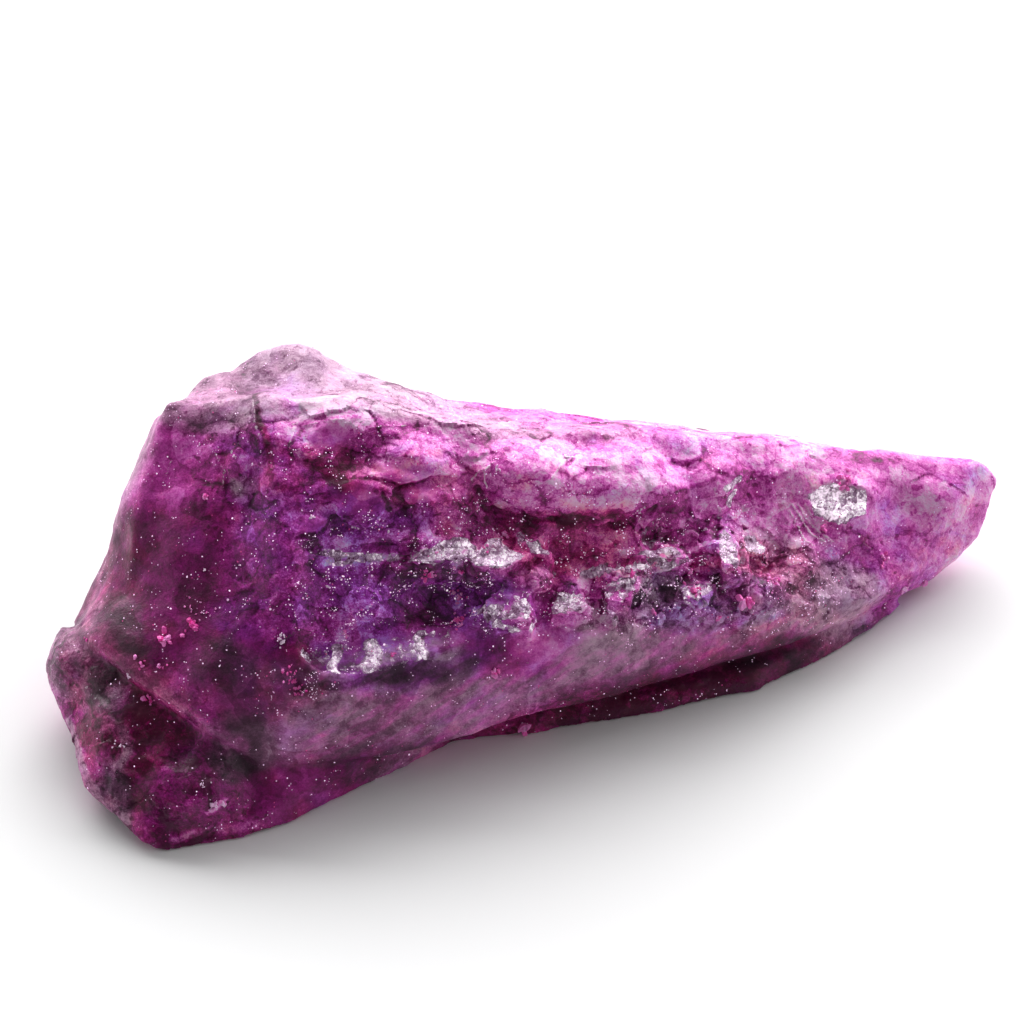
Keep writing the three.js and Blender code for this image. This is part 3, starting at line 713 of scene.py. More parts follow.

# How the stain lies: spots of dye (0 pale pink to 1 black-purple), ink (0 magenta to 1 violet), a grey mask (0
# clear to
# 1 grey: grey film, and on the brow and the top back edge painted sheen of the bright room), blush (0 none to 1
#         red)
# and dusting (0 clean to 1 thick), each with its middle, reach and value
stains = {
    "dye": [
        # crown, from its top edge down
        ((-19, 9, 16), (4, 3, 2), 0.5), ((-12.5, 10.5, 15.5), (5, 3, 2), 0.36), ((-5, 9, 15), (6, 3, 2), 0.4),
        ((3, 8.5, 13.5), (6, 3, 2), 0.44), ((-13.5, 6, 17), (3, 1.2, 1), 0.18),
        ((-8, 5.6, 16.6), (3, 1.4, 1), 0.22), ((-12.8, 4.2, 16.5), (1.6, 1.2, 1), 0.38),
        ((-11.4, 4, 15.9), (1.3, 0.8, 1), 0.68), ((-13, 3.1, 15.8), (1.8, 0.5, 0.8), 0.68),
        ((-8, 3.2, 15.8), (2.2, 1, 1), 0.4), ((-4, 4.9, 15.6), (2.4, 1.2, 1), 0.32),
        ((-8.4, 1.6, 14.7), (0.5, 0.8, 0.8), 0.74), ((-6.7, 1.7, 14.6), (1.2, 0.7, 0.8), 0.42),
        ((-10.5, 1, 14.5), (1.5, 1, 1), 0.48), ((-12.1, 1.7, 15), (0.4, 0.4, 0.5), 0.74),
        ((-15.2, 1.5, 14.8), (1, 1, 1), 0.66), ((-11.2, 0.1, 13.3), (2.4, 0.5, 0.6), 0.72),
        ((-7.4, 0.1, 12.8), (1.5, 0.7, 0.8), 0.52), ((-7.6, -0.8, 12.2), (1.8, 0.4, 0.6), 0.72),
        ((-13.3, -0.2, 13.5), (1, 0.7, 0.7), 0.46), ((-4.6, 2, 13.6), (1.6, 0.9, 1), 0.52),
        ((-3.6, 2.7, 13.6), (0.7, 0.6, 0.9), 0.66),
        # lump and what is round it
        ((-0.7, 2.6, 13.6), (1.8, 1.2, 1.2), 0.25), ((-0.4, 4.2, 15), (2.4, 1.2, 1), 0.13),
        ((4.2, 3.4, 13.2), (2.2, 1.6, 1.2), 0.1), ((2, 4.4, 14.2), (1.4, 1, 0.8), 0.17),
        ((0.8, 1.8, 11.7), (4, 0.5, 0.6), 0.76), ((6.6, 2.7, 10.9), (1.4, 0.5, 0.7), 0.52),
        ((1.5, 1, 10.9), (3.5, 0.7, 0.8), 0.58), ((5.5, 1.9, 10.2), (1.8, 0.7, 0.7), 0.3),
        ((8.1, 3, 9.9), (1, 0.9, 1.1), 0.83), ((10.5, 4, 9.8), (2, 1.2, 1), 0.41),
        ((11, 2.8, 8.4), (2, 0.7, 0.8), 0.4),
        # towards the tip
        ((10, 8, 12), (5, 3, 2), 0.27), ((9.4, 5.6, 11.6), (2, 1.2, 1), 0.31),
        ((18, 9.6, 9.2), (5, 2.5, 2), 0.13), ((26, 11, 6.5), (4, 3, 3), 0.19),
        ((20.3, 9.6, 8.9), (0.8, 0.5, 0.5), 0.43), ((16.8, 8, 9.4), (1.5, 1, 1), 0.27),
        ((22.5, 6.6, 6), (2.6, 1.2, 1.4), 0.31), ((23.2, 5, 4.6), (2.2, 0.9, 0.9), 0.45),
        ((25.6, 6.5, 4), (2.5, 2, 2), 0.15), ((27.5, 9.5, 4.5), (2, 2, 2), 0.23),
        ((18.2, 5, 7.2), (1.4, 0.9, 0.9), 0.23), ((20.5, 4.2, 5), (1.6, 1.2, 1.2), 0.31),
        ((14.5, 5, 8.6), (2.2, 1.5, 1.2), 0.41), ((24, 3.8, 1.5), (3, 1.5, 1.2), 0.56),
        ((19.4, 1.3, 3.6), (1.6, 1.2, 1.2), 0.31),
        # steps and crest
        ((-11, -1.2, 12), (4, 0.6, 0.5), 0.33), ((-12, -2.6, 11), (3, 0.9, 0.7), 0.63),
        ((-10.3, -3.8, 10.4), (1.1, 1.1, 1), 0.48), ((-13, -4, 10), (1.8, 1, 1), 0.62),
        ((-6, -1.5, 10.6), (2.6, 0.7, 0.9), 0.72), ((-7.9, -3.2, 9.2), (0.9, 0.9, 0.9), 0.72),
        ((-6, -2.8, 9.2), (1.8, 1.1, 0.8), 0.62), ((-4.2, -3.4, 8.4), (0.9, 0.8, 0.8), 0.62),
        # the long thin spot at (-8.6, -6.9, 7.6) darkens the groove under the long tread: painted shade
        ((-9.5, -5.6, 8.3), (5, 1.6, 0.6), 0.42), ((-8.6, -6.9, 7.6), (4.5, 0.5, 0.5), 0.82),
        ((-14.4, -7.2, 7.8), (0.9, 0.9, 1.2), 0.82), ((-1.8, -1.2, 11.2), (2, 1.2, 0.9), 0.46),
        ((0.6, -2.6, 8.9), (1, 1.6, 1.2), 0.54), ((0.5, -4.4, 7.4), (2.4, 0.9, 1), 0.42),
        ((-2.6, -5, 7.3), (1.4, 0.8, 0.8), 0.8), ((4.4, 0.2, 9.6), (1.4, 1, 1), 0.38),
        ((7.4, -0.6, 7.8), (2, 0.9, 0.9), 0.62), ((9, 2.2, 8.6), (2, 0.7, 0.9), 0.46),
        ((13.4, 1, 6.8), (1.4, 0.9, 0.9), 0.52), ((15.6, 1.8, 6.2), (1.8, 1.2, 1), 0.48),
        ((9.6, -1.3, 6.4), (2.6, 0.5, 0.6), 0.3),
        # ridge and end face
        ((-14.6, -1, 12), (1.5, 4, 2.5), 0.58), ((-16.6, 3, 15), (1.8, 3, 2), 0.52),
        ((-20.5, 5, 14), (2.4, 2.5, 2), 0.53), ((-18.6, 0, 12), (2.2, 2.6, 2), 0.65),
        ((-20.6, -1.8, 10.6), (2.4, 2.6, 2), 0.88), ((-24, -1, 9.4), (2.4, 3, 2), 0.88),
        ((-16.4, -4.6, 10), (1.6, 2.2, 2), 0.65), ((-25.8, -3.4, 7.9), (0.8, 1.1, 1), 0.91),
        ((-19.2, -6.8, 8.5), (0.8, 0.7, 0.8), 0.89), ((-17.3, -8.4, 6.6), (1.8, 1.4, 1.6), 0.73),
        ((-25.4, 7, 8.5), (1.6, 2.4, 3), 0.34), ((-19.9, 0.9, 12.4), (0.8, 0.8, 0.8), 0.84),
        # brow
        ((-9, -8.5, 5), (5, 2, 3), 0.51), ((-1, -6, 5.5), (5, 2, 3), 0.48), ((8, -2.6, 5.5), (6, 2, 2), 0.46),
        ((16, 0, 4.5), (5, 2, 2), 0.39), ((-13.5, -9.6, 4), (2.5, 1.5, 2), 0.56),
        # foot and underside
        ((-12, -11.4, 1.4), (5, 1.2, 0.8), 0.77), ((-9, -9.6, 2.4), (4, 1, 0.7), 0.97),
        ((6, -4.5, 2.4), (8, 1.4, 1.2), 0.97), ((4, -5.4, 0.6), (10, 1, 0.6), 0.87),
        ((15, -1.4, 2), (5, 1.4, 1.4), 0.97), ((15.2, -0.8, 2.4), (1.2, 0.6, 0.6), 0.97),
        # toe
        ((-22.4, -8.2, 5.4), (2.6, 0.9, 0.7), 0.96), ((-20, -9.6, 4.2), (2.2, 0.8, 0.7), 0.93),
        ((-21.5, -7.6, 6.3), (3, 0.8, 0.8), 0.77), ((-24, -9.2, 3.4), (2, 2.4, 2), 0.95),
        ((-20.6, -12, 2.6), (3, 2, 1.6), 0.83), ((-28, -4, 5.4), (1.4, 2, 1.4), 0.58),
        ((-26.3, -7.2, 5), (1.2, 1.8, 1), 0.71), ((-25.9, -11, 2), (0.9, 2, 1.4), 0.65),
        ((-21.5, -14, 1.3), (0.8, 0.7, 0.7), 0.97), ((-26, -5.4, 6.6), (1.2, 1.2, 1), 0.84),
        ((-18.2, -10, 4.4), (1, 1, 1), 0.95), ((-25, -12.6, 0.8), (1.2, 1.4, 1), 0.75),
        # back
        ((-10, 13.8, 6), (10, 1.8, 4.5), 0.86), ((8, 13, 4.5), (9, 1.8, 4), 0.84),
        ((-24, 9, 5), (3, 3, 4), 0.74), ((-14, 14, 3), (6, 1.6, 3), 0.92),
        ((20, 12.4, 2.6), (6, 1.2, 2.4), 0.82), ((-27, 3, 5), (2, 3, 3), 0.66),
    ],
    "ink": [
        # the spot at (-9, -6.6, 7.7) tints the groove under the long tread blue-violet: painted shade
        ((-12, -2, 11), (4, 4, 3), 0.75), ((-9, -6.6, 7.7), (5, 0.8, 0.7), 1), ((-10, 5, 16.6), (5, 2, 2), 0.3),
        ((-15.4, 2, 13.6), (2, 5, 3), 0.66), ((-22, 0, 10), (5, 7, 5), 0.1), ((-1, 2.6, 13.6), (2.5, 2, 2), 0),
        ((3.2, 4.6, 14), (2, 1.4, 1.2), 0.2), ((10, 6.6, 11.6), (3, 2, 1.5), 0.25),
        ((12, -0.9, 6.6), (4, 0.8, 0.8), 0.9), ((22, 9, 7), (8, 3, 3), 0.12), ((22, 5.4, 5), (2, 2, 2), 0.5),
        ((27.5, 9.5, 5), (1.5, 2, 2), 0.35), ((0, -6, 5), (10, 3, 3), 0.3),
        ((-5.6, -2.8, 9.2), (2, 1.2, 1), 0.7), ((10, -4, 2), (12, 2, 2), 0), ((0.5, 1.5, 11.4), (4, 1, 1), 0),
        ((-16.4, -4.6, 10), (1.6, 2.4, 2), 0.7), ((-24, -9, 3), (4, 5, 3), 0.15),
    ],
    "ashAndSheen": [
        # grey on the brow and along the top back edge paints the sheen of the bright room on those faces
        ((-6, -8, 5), (8, 2.5, 3), 0.7), ((8, -3, 5.5), (8, 2, 2), 0.64), ((16, -0.5, 4.5), (5, 2, 2), 0.66),
        ((0.5, -4.6, 7.2), (2.4, 1, 1), 0.15), ((3.8, -3.9, 6.2), (2, 1, 1), 0.95),
        ((20, 1.4, 3.8), (2, 1.4, 1.4), 0.8), ((-16.5, 8.8, 16.4), (3.4, 1.4, 1), 0.9),
        ((-4, 8.6, 15.2), (5, 2.4, 1.5), 0.85), ((4, 8.4, 13.9), (5, 1.2, 1), 0.66),
        ((-12.5, 10.5, 15.5), (5, 2.5, 2), 0.95), ((-10, 7.4, 17), (5, 1, 0.8), 0.85),
        ((-12, 8.6, 16.6), (5, 1.6, 1), 0.8), ((-18, 8, 16.6), (3, 1.5, 1), 0.8),
        ((12, 10.5, 11.4), (5, 1.5, 1), 0.5), ((-3, -0.6, 10.8), (3.5, 1.2, 1), 0.5),
        ((0.4, -2.6, 9), (2, 2, 1), 0.4), ((10, 0.6, 8), (5, 1.6, 1.4), 0.45),
        ((-17.6, 2.2, 14.1), (0.4, 0.4, 0.5), 0.6), ((-25.8, -3.6, 7.9), (1, 1.2, 1.2), 0.85),
        ((-19.2, -6.8, 8.5), (1, 0.8, 0.9), 0.6), ((-9, 3, 14.5), (8, 3, 4), 0.05),
        ((10, 8, 11), (10, 4, 3), 0.05), ((-21, 1, 11), (3, 4, 3), 0.32), ((3, 1, 11), (7, 2.4, 3), 0),
        ((14.2, 2.4, 7.4), (2, 1.2, 1), 0.6), ((8, -5, 1.8), (14, 2, 1.2), 0), ((26, 9, 5.5), (5, 5, 3), 0.05),
        ((-22, -8.6, 4.8), (3, 1, 1), 0.1), ((-21.6, -7.6, 6.3), (3, 0.8, 0.8), 0.55),
        ((-24, -9, 3), (3, 3, 2), 0.1), ((-12, -3.5, 10.5), (4, 2, 1.5), 0.1),
        ((-18, -10.1, 4.5), (1, 1, 1), 1), ((-26.2, -7.4, 5), (0.9, 2, 1), 0.85),
        ((-28.6, -3.6, 5.2), (0.9, 1.6, 1.2), 0.75), ((-25.6, -11.4, 2), (0.7, 2, 1.4), 0.95),
        ((7.6, -0.4, 7.8), (1, 0.7, 0.7), 0.85), ((-25.4, 7, 8.5), (2, 3, 4), 0.8),
        ((-12, -11.6, 1.2), (5, 1, 0.8), 0.3),
    ],
    "blush": [
        ((-1, 2.2, 13.4), (2.2, 1.4, 1.6), 0.35), ((0.5, 1.2, 11), (4.5, 1, 1), 0.7),
        ((-13.6, 2.4, 15.4), (1.6, 1, 1), 0.7), ((-6.2, 2.4, 14.4), (1.6, 0.8, 1), 0.6),
        ((18, 6.2, 8.4), (1.6, 1, 1), 0.3), ((23.6, 5.4, 4.8), (1.8, 0.9, 1), 0.4),
        ((15, -1, 2.4), (6, 1.4, 1.4), 0.6), ((4, -5.2, 1.8), (8, 1.4, 1.2), 0.7),
        ((-25, -7.4, 5.6), (1.6, 1.6, 1.2), 0.8), ((-26, -2, 9), (1.4, 3, 2), 0.7),
        ((-14.4, -7.2, 7.6), (0.9, 0.9, 1), 0.9), ((0, 8, 14), (30, 5, 3), 0.1), ((-9, -4, 10), (4, 3, 2), 0.1),
        ((0, -6, 5), (12, 3, 2), 0.3), ((22, 9, 7), (5, 3, 3), 0.15), ((15.4, 1.4, 6.4), (2, 1, 1), 0.7),
        ((-20, 0, 11), (3, 4, 3), 0.35), ((27, 7.6, 3.6), (2, 2, 1.5), 0.4),
    ],
    "dusting": [
        ((-20, 0, 11), (6, 7, 4), 0.22), ((-6, 0, 12.4), (5, 1.6, 1.4), 1), ((-8, -3, 10), (6, 2, 1.6), 0.9),
        ((8, 1, 8.6), (7, 2.4, 2), 1), ((16, 2.4, 6.2), (3, 2, 1.4), 0.9), ((0, -7, 5), (14, 3, 2.4), 0.16),
        ((4, -5, 2), (14, 1.6, 1.4), 0.2), ((-24, -9, 4), (4, 5, 3), 0.12), ((4, 3, 13), (5, 2, 2), 0.6),
        ((10, 9, 12), (9, 3, 3), 0.25), ((25, 8, 5), (5, 5, 3), 0.1), ((-10, 8.6, 16.5), (10, 3, 2), 0.2),
        ((-10, 2.6, 15), (5, 2, 2), 0.45), ((0, 13.5, 6), (25, 2, 5), 0.14),
        ((-14.4, -7.2, 7.6), (1, 1, 1.4), 1),
    ],
}

# A net of magenta veins lies on the crown towards the tip
magentaLines = [
    [(7.7, 5.2, 12.9), (8.5, 6.1, 12.3), (9.7, 6.6, 11.6), (10.5, 6.9, 11.6), (10.8, 7.7, 11.7),
     (10.6, 8, 11.8)],
    [(10.5, 6.8, 11.6), (11.2, 6.3, 11.3), (11.9, 6.2, 11), (12.7, 6.8, 10.8), (12.8, 7.1, 10.8)],
    [(12.7, 6.5, 10.7), (13.5, 7, 10.3)],
    [(7.7, 5.1, 12.9), (8.3, 4.3, 12.3), (9, 4.2, 11.7), (9.7, 4.9, 11.1), (10.4, 5.2, 11.1), (11, 5.5, 11),
     (11.6, 5.8, 11.1), (12, 5.8, 10.8)],
    [(10.8, 4.8, 10.3), (11.4, 4.8, 10.1), (12, 5.1, 9.9), (12.4, 5.5, 10.1)],
]
# Stain drawn in lines: width, what it turns each mask to, and the points. Some lines paint sheen and highlights:
# the grey lines along the toe's edges and the pale lines on ledges and steps.
strokes = [
    (0.7, {"ashAndSheen": 0.6, "dye": 0.56}, [(-29.1, -4.2, 5.1), (-28.2, -5.3, 4.5), (-27.2, -6.6, 3.7),
     (-26, -8.6, 4.7), (-25.1, -9, 4.6), (-24.7, -10, 4)]),
    (0.45, {"ashAndSheen": 0.8, "dye": 0.56}, [(-25.1, -9, 4.6), (-24.7, -10, 4), (-25.5, -10.9, 2.9),
     (-25, -12.1, 1.8), (-24.8, -13.3, 1.1)]),
    (0.7, {"ashAndSheen": 0.8, "dye": 0.5}, [(-29, -7, 2.8), (-28.2, -8.6, 2.4), (-27, -10.7, 1.8), (-26, -11.9, 1.5),
     (-25, -13, 1.2)]),
    (1.1, {"ashAndSheen": 0.65, "dye": 0.66, "ink": 0.1}, [(-26.9, -4.2, 7), (-25.8, -5.2, 7.2), (-24.7, -6.1, 7.1),
     (-23.1, -7.4, 6.7), (-21.9, -8.4, 6.1), (-20.3, -9.1, 5.1), (-19.1, -10, 5.5), (-17.8, -10.2, 4.5)]),
    (0.4, {"ashAndSheen": 0.5, "dye": 0.56}, [(-22, -14.4, 0.6), (-19.9, -13.9, 0.9), (-17.9, -13.5, 0.7),
     (-16.8, -13.3, 0.7)]),
    (0.24, {"ashAndSheen": 0, "dye": 0.24}, [(-19.7, -13.4, 2), (-18.8, -12.9, 2.5)]),
    (0.3, {"dye": 0.8, "blush": 1}, [(-16.9, 8.4, 16.1), (-16.8, 6, 17.2), (-16.7, 5.2, 17),
     (-16.4, 4.6, 16.8), (-16.1, 3.8, 16.4), (-16, 3.1, 15.8), (-15.9, 2.7, 15.5)]),
    (0.3, {"ashAndSheen": 0.7, "dye": 0.78, "blush": 0.6}, [(-14.2, 4.8, 16.5), (-14.8, 3.8, 16.4),
     (-14.6, 3.3, 16.1)]),
    (0.22, {"dye": 0.52}, [(-14.5, 5.3, 16.8), (-13.8, 5.2, 16.9), (-13.2, 5.3, 17.1), (-12.3, 5.3, 17.3),
     (-10.6, 5.5, 17.3)]),
    (0.2, {"dye": 0.52}, [(-9.9, 4.8, 16.8), (-8.6, 5.4, 16.6), (-6.9, 5.6, 16.3)]),
    (0.7, {"ashAndSheen": 0.7, "dye": 0.6}, [(-15.1, 6.6, 17.2), (-14.6, 6, 16.9)]),
    (0.5, {"ashAndSheen": 0.8, "dye": 0.3}, [(-17.9, 2.3, 14.1), (-18.3, 2.7, 14.3)]),
    (0.9, {"dye": 0.3, "ashAndSheen": 0.45, "ink": 0.1, "blush": 0.4}, [(-0.4, -1.5, 10.2), (1.1, -1.1, 9.3)]),
    (0.5, {"bare": 0.44, "dye": 0.24, "ink": 0.9}, [(-12.6, -1.7, 11.9), (-11, -1.5, 11.9),
     (-9.6, -1.3, 11.9), (-8.4, -1.2, 11.8)]),
    (0.6, {"bare": 0.5, "dye": 0.3}, [(-4.6, -0.9, 11.4), (-3.2, -0.6, 11.6), (-2, -0.2, 11.3)]),
    (0.5, {"bare": 0.55, "dye": 0.3}, [(-3.4, -3, 9), (-2.2, -3.3, 8.7), (-1, -3.4, 8.4)]),
    (0.5, {"bare": 0.5, "dye": 0.35}, [(3.4, -0.4, 9.2), (5.2, 0, 9.4), (6.6, 0.3, 9.3), (8.6, 0.9, 8.8)]),
    (0.36, {"bare": 0.95}, [(12.2, 5.5, 10.4), (12.6, 5.9, 10.4), (13, 6.3, 10.4)]),
    (0.32, {"bare": 0.9}, [(12.3, 5.1, 9.4), (12.5, 5.4, 9.7), (12.7, 5.7, 9.8)]),
    (0.3, {"dye": 0.66, "ashAndSheen": 0}, [(21.8, 9.6, 8.5), (22.1, 9.6, 8.4)]),
    (0.26, {"dye": 0.62, "ashAndSheen": 0}, [(22.9, 9.8, 8.1), (23.1, 9.8, 7.9)]),
]
strokes += [(0.22, {"dye": 0.56, "ink": 0.3, "ashAndSheen": 0}, line) for line in magentaLines]

# edges stand out of the skin near by; hollows lie below it, near by or at large
bulge = {"closeRounds": 3, "wideRounds": 30, "close": (0.01, 0.06), "wide": (0.04, 0.35), "closeHollow": 0.6}
places, normals = skinOf(stonePiece)
near = blurred(stonePiece, places, bulge["closeRounds"])
far = blurred(stonePiece, near, bulge["wideRounds"])
facing = facingOf(stonePiece, normals)
closeBulge = ((places - near) * normals).sum(1)
wideBulge = ((places - far) * facing).sum(1)
closeHollow = soft(-closeBulge, *bulge["close"]) * bulge["closeHollow"]
storeMask(stonePiece, "edge", soft(closeBulge, *bulge["close"]))
storeMask(stonePiece, "hollow", np.maximum(closeHollow, soft(-wideBulge, *bulge["wide"])))
masks = {name: spread(places, spots) for name, spots in stains.items()}
masks["bare"] = facetShares(places, facing)[1]
for width, values, line in strokes:
    share = drawn(places, facing, line, width)
    for name, value in values.items():
        masks[name] = masks[name] + share * (value - masks[name])
for name, values in masks.items():
    storeMask(stonePiece, name, values)
storeMask(stonePiece, "crack", linesOn(places, facing, creases)[0])
storeMask(stonePiece, "rim", linesOn(places, facing, ridges)[0])
print("masks stored")

# Stain colours from the thinnest to the thickest, then bare faces with painted sheen from the darkest to the
# brightest
dyeColours = [
    (0, (0.96, 0.56, 0.87)), (0.16, (0.93, 0.32, 0.75)), (0.3, (0.82, 0.165, 0.62)),
    (0.44, (0.62, 0.056, 0.43)), (0.58, (0.4, 0.022, 0.25)), (0.74, (0.24, 0.01, 0.145)),
    (0.88, (0.145, 0.005, 0.08)), (1, (0.085, 0.003, 0.045)),
]
# greyed colours, for grey film and for painted sheen
ashAndSheenColours = [
    (0, (0.68, 0.53, 0.59)), (0.35, (0.5, 0.345, 0.43)), (0.6, (0.2, 0.085, 0.16)),
    (0.8, (0.085, 0.034, 0.068)), (1, (0.042, 0.017, 0.034)),
]
bareColours = [
    (0, (0.14, 0.03, 0.1)), (0.3, (0.52, 0.27, 0.5)), (0.55, (0.84, 0.62, 0.82)), (0.8, (0.98, 0.93, 0.96)),
]
powderColour = (1, 0.55, 0.95, 1)
# the colour of painted glints, which glow
paintedGlintColour = (1, 0.76, 0.97)
crumbColour = (0.95, 0.1, 0.42, 1)
# pale edges and ridges, partly painted glints
rimColour = (0.9, 0.68, 0.82, 1)
pitColour = (0.11, 0.02, 0.07, 1)
inkTint = (0.72, 1.15, 1.35, 1)
blushTint = (1.12, 0.85, 0.7, 1)


def mixed(tree, share, a, b, kind="MIX"):
    made = add(tree, "ShaderNodeMix", {"Factor": share}, data_type="RGBA", blend_type=kind, clamp_factor=True)
    for index, value in ((6, a), (7, b)):
        if isinstance(value, bpy.types.NodeSocket):
            tree.links.new(value, made.inputs[index])
        else:
            made.inputs[index].default_value = value
    return made.outputs[2]


def colourRamp(tree, value, stops):
    made = add(tree, "ShaderNodeValToRGB", {0: value})
    points = made.color_ramp.elements
    while len(points) < len(stops):
        points.new(0.5)
    for point, (at, colour) in zip(points, stops):
        point.position = at
        point.color = (*colour, 1)
    return made.outputs["Color"]


# small round specks: how many to the millimetre, their radius as a share of that, and how many of them show
def specks(tree, place, close, radius, share, shift):
    moved = vectorCalc(tree, "ADD", place, (shift, shift, shift))
    dots = add(tree, "ShaderNodeTexVoronoi", {"Vector": moved, "Scale": close}, feature="F1")
    chance = split(tree, dots.outputs["Color"])
    size = ramp(tree, chance[1], 0, 1, radius * 0.5, radius)
    dot = calc(tree, "LESS_THAN", dots.outputs["Distance"], size)
    return calc(tree, "MULTIPLY", dot, calc(tree, "LESS_THAN", chance[0], share))


# Noises over the skin: size, detail, roughness and shift
noises = {
    "wide": (4, 4, 0.6, 0), "middle": (1.3, 4, 0.65, 31), "fine": (0.32, 3, 0.8, 17),
    "grit": (0.11, 1, 0.9, 67), "hue": (2.2, 3, 0.6, 53), "redness": (1.6, 3, 0.65, 71),
    "blot": (0.55, 2, 0.5, 91), "clump": (0.9, 3, 0.6, 83),
}
# streaks run up the brow towards the tip
streaks = {"way": (0.87, 0.25, 0.43), "length": 0.84, "noise": (0.75, 3, 0.6, 7), "starts": (-15.5, -12)}
# Specks: how many to the millimetre, their radius as a share of that, how many of them show, and shift
pitSpecks = (4, 0.28, 0.34, 41)
powderSpecks = [(4.2, 0.3, 0.12, 0), (7.5, 0.36, 0.36, 11)]
pinkSpecks = (5, 0.28, 0.14, 23)


def stoneMaterial():
    material, tree, shader = newMaterial("sapphireRough")
    place = colourMask(tree, "skin", "Vector")
    masks = {
        name: colourMask(tree, name)
        for name in [*stains, "edge", "hollow", "crumble", "splinter", "crack", "rim", "bare"]
    }

    def swing(value, amount):
        return centred(tree, value, amount)

    wide, middle, fine, grit, hue, redness, blot, clump = (
        noise(tree, place, *values)["Fac"] for values in noises.values()
    )
    along = vectorCalc(tree, "DOT_PRODUCT", place, streaks["way"])
    parts = {k: product(tree, along, share) for k, share in enumerate(streaks["way"])}
    drawnOut = scaled(tree, add(tree, "ShaderNodeCombineXYZ", parts).outputs[0], streaks["length"])
    streak = noise(tree, vectorCalc(tree, "SUBTRACT", place, drawnOut), *streaks["noise"])["Fac"]
    smoothGround = ramp(tree, masks["crumble"], 0.35, 0.12)
    roughGround = ramp(tree, calc(tree, "MAXIMUM", masks["crumble"], masks["splinter"]), 0.15, 0.7, 0.42)
    streaked = product(tree, smoothGround, ramp(tree, split(tree, place)[0], *streaks["starts"]))

    big = cells(tree, place, **plates)
    small = cells(tree, place, **chips)
    sharp = cells(tree, place, **splinters)
    bigChance, smallChance, sharpChance = (split(tree, made["chance"]) for made in (big, small, sharp))

    # dye gathers along the borders of cells, in blots and in cracks
    halo = ramp(tree, big["border"], 0, 0.2, 0.2, 0)
    line = ramp(tree, big["border"], 0, 0.03, 0.2, 0)
    smallLine = ramp(tree, small["border"], 0, 0.12, 0.12, 0)
    lines = total(
        tree, product(tree, total(tree, halo, line), ramp(tree, wide, 0.46, 0.56)),
        product(tree, smallLine, ramp(tree, middle, 0.46, 0.56)),
    )
    lines = product(tree, lines, ramp(tree, masks["crumble"], 0.2, 0.6))
    blots = product(tree, ramp(tree, blot, 0.62, 0.70), ramp(tree, masks["crumble"], 0.12, 0.4, 0, 0.24))
    crack = ramp(tree, total(tree, masks["crack"], swing(middle, 0.9)), 0.3, 0.9, 0, 0.36)

    # hollows are made darker, partly dye gathered there and partly painted shade; edges are made lighter, partly
    # wear and partly painted highlight
    dye = total(
        tree, masks["dye"], swing(wide, 0.5), swing(middle, 0.6),
        product(tree, swing(fine, 1), roughGround), product(tree, swing(grit, 0.6), roughGround),
        swing(bigChance[1], 0.14), product(tree, swing(smallChance[1], 0.3), roughGround),
        product(tree, swing(sharpChance[1], 0.5), masks["splinter"]),
        product(tree, swing(streak, 0.55), streaked), lines, blots, crack,
        product(tree, masks["hollow"], 0.22), product(tree, masks["edge"], -0.14), -0.05,
    )
    colour = colourRamp(tree, dye, dyeColours)
    ink = ramp(tree, total(tree, masks["ink"], swing(hue, 1.5), swing(bigChance[2], 0.3)), 0.2, 1.1)
    colour = mixed(tree, ink, colour, mixed(tree, 1, colour, inkTint, "MULTIPLY"))
    blush = ramp(tree, total(tree, masks["blush"], swing(redness, 1.8)), 0.25, 1)
    colour = mixed(tree, blush, colour, mixed(tree, 1, colour, blushTint, "MULTIPLY"))
    # grey along the brow's streaks, partly a painted reflection of the table
    streakAshAndSheen = product(tree, swing(streak, 1.4), streaked)
    ashAndSheen = total(tree, masks["ashAndSheen"], swing(wide, 0.6), swing(middle, 0.6), streakAshAndSheen)
    colour = mixed(tree, ramp(tree, ashAndSheen, 0.3, 1, 0, 0.85), colour, colourRamp(tree, dye, ashAndSheenColours))
    # edges and ridges are painted pale, broken by noise: partly wear, partly painted glints along them
    rim = total(tree, masks["rim"], product(tree, masks["edge"], 0.2), swing(fine, 2.4), swing(middle, 0.8))
    colour = mixed(tree, ramp(tree, rim, 0.5, 1, 0, 0.85), colour, rimColour)

    # bare breaks are painted as a mosaic of small bright and dull faces, partly bare of dye and partly painted
    # sheen; each small face is painted lighter towards one side, a painted shading, and bumped the same way
    face = cells(tree, place, **faces)
    faceChance = split(tree, face["chance"])
    lean = vectorCalc(tree, "SUBTRACT", face["chance"], (0.5, 0.5, 0.5))
    slope = vectorCalc(tree, "DOT_PRODUCT", face["away"], lean)
    paleChips = product(tree, ramp(tree, sharpChance[2], 0.72, 0.76), masks["splinter"], 0.4)
    bare = total(tree, masks["bare"], paleChips, swing(faceChance[1], 0.3), swing(fine, 0.5))
    bareTone = total(
        tree, product(tree, masks["bare"], 0.62), swing(faceChance[0], 0.34), product(tree, slope, 0.9),
        swing(fine, 1.5), swing(grit, 0.8), swing(middle, 0.8), 0.11,
    )
    bareShare = ramp(tree, bare, 0.3, 0.5, 0, 0.95)
    colour = mixed(tree, bareShare, colour, colourRamp(tree, bareTone, bareColours))
    colour = mixed(tree, product(tree, specks(tree, place, *pitSpecks), bareShare), colour, pitColour)

    # powder lies in clumps
    density = product(tree, masks["dusting"], ramp(tree, clump, 0.51, 0.62, 0.03, 2.5))

    def dusted(close, radius, share, shift):
        return specks(tree, place, close, radius, product(tree, density, share), shift)

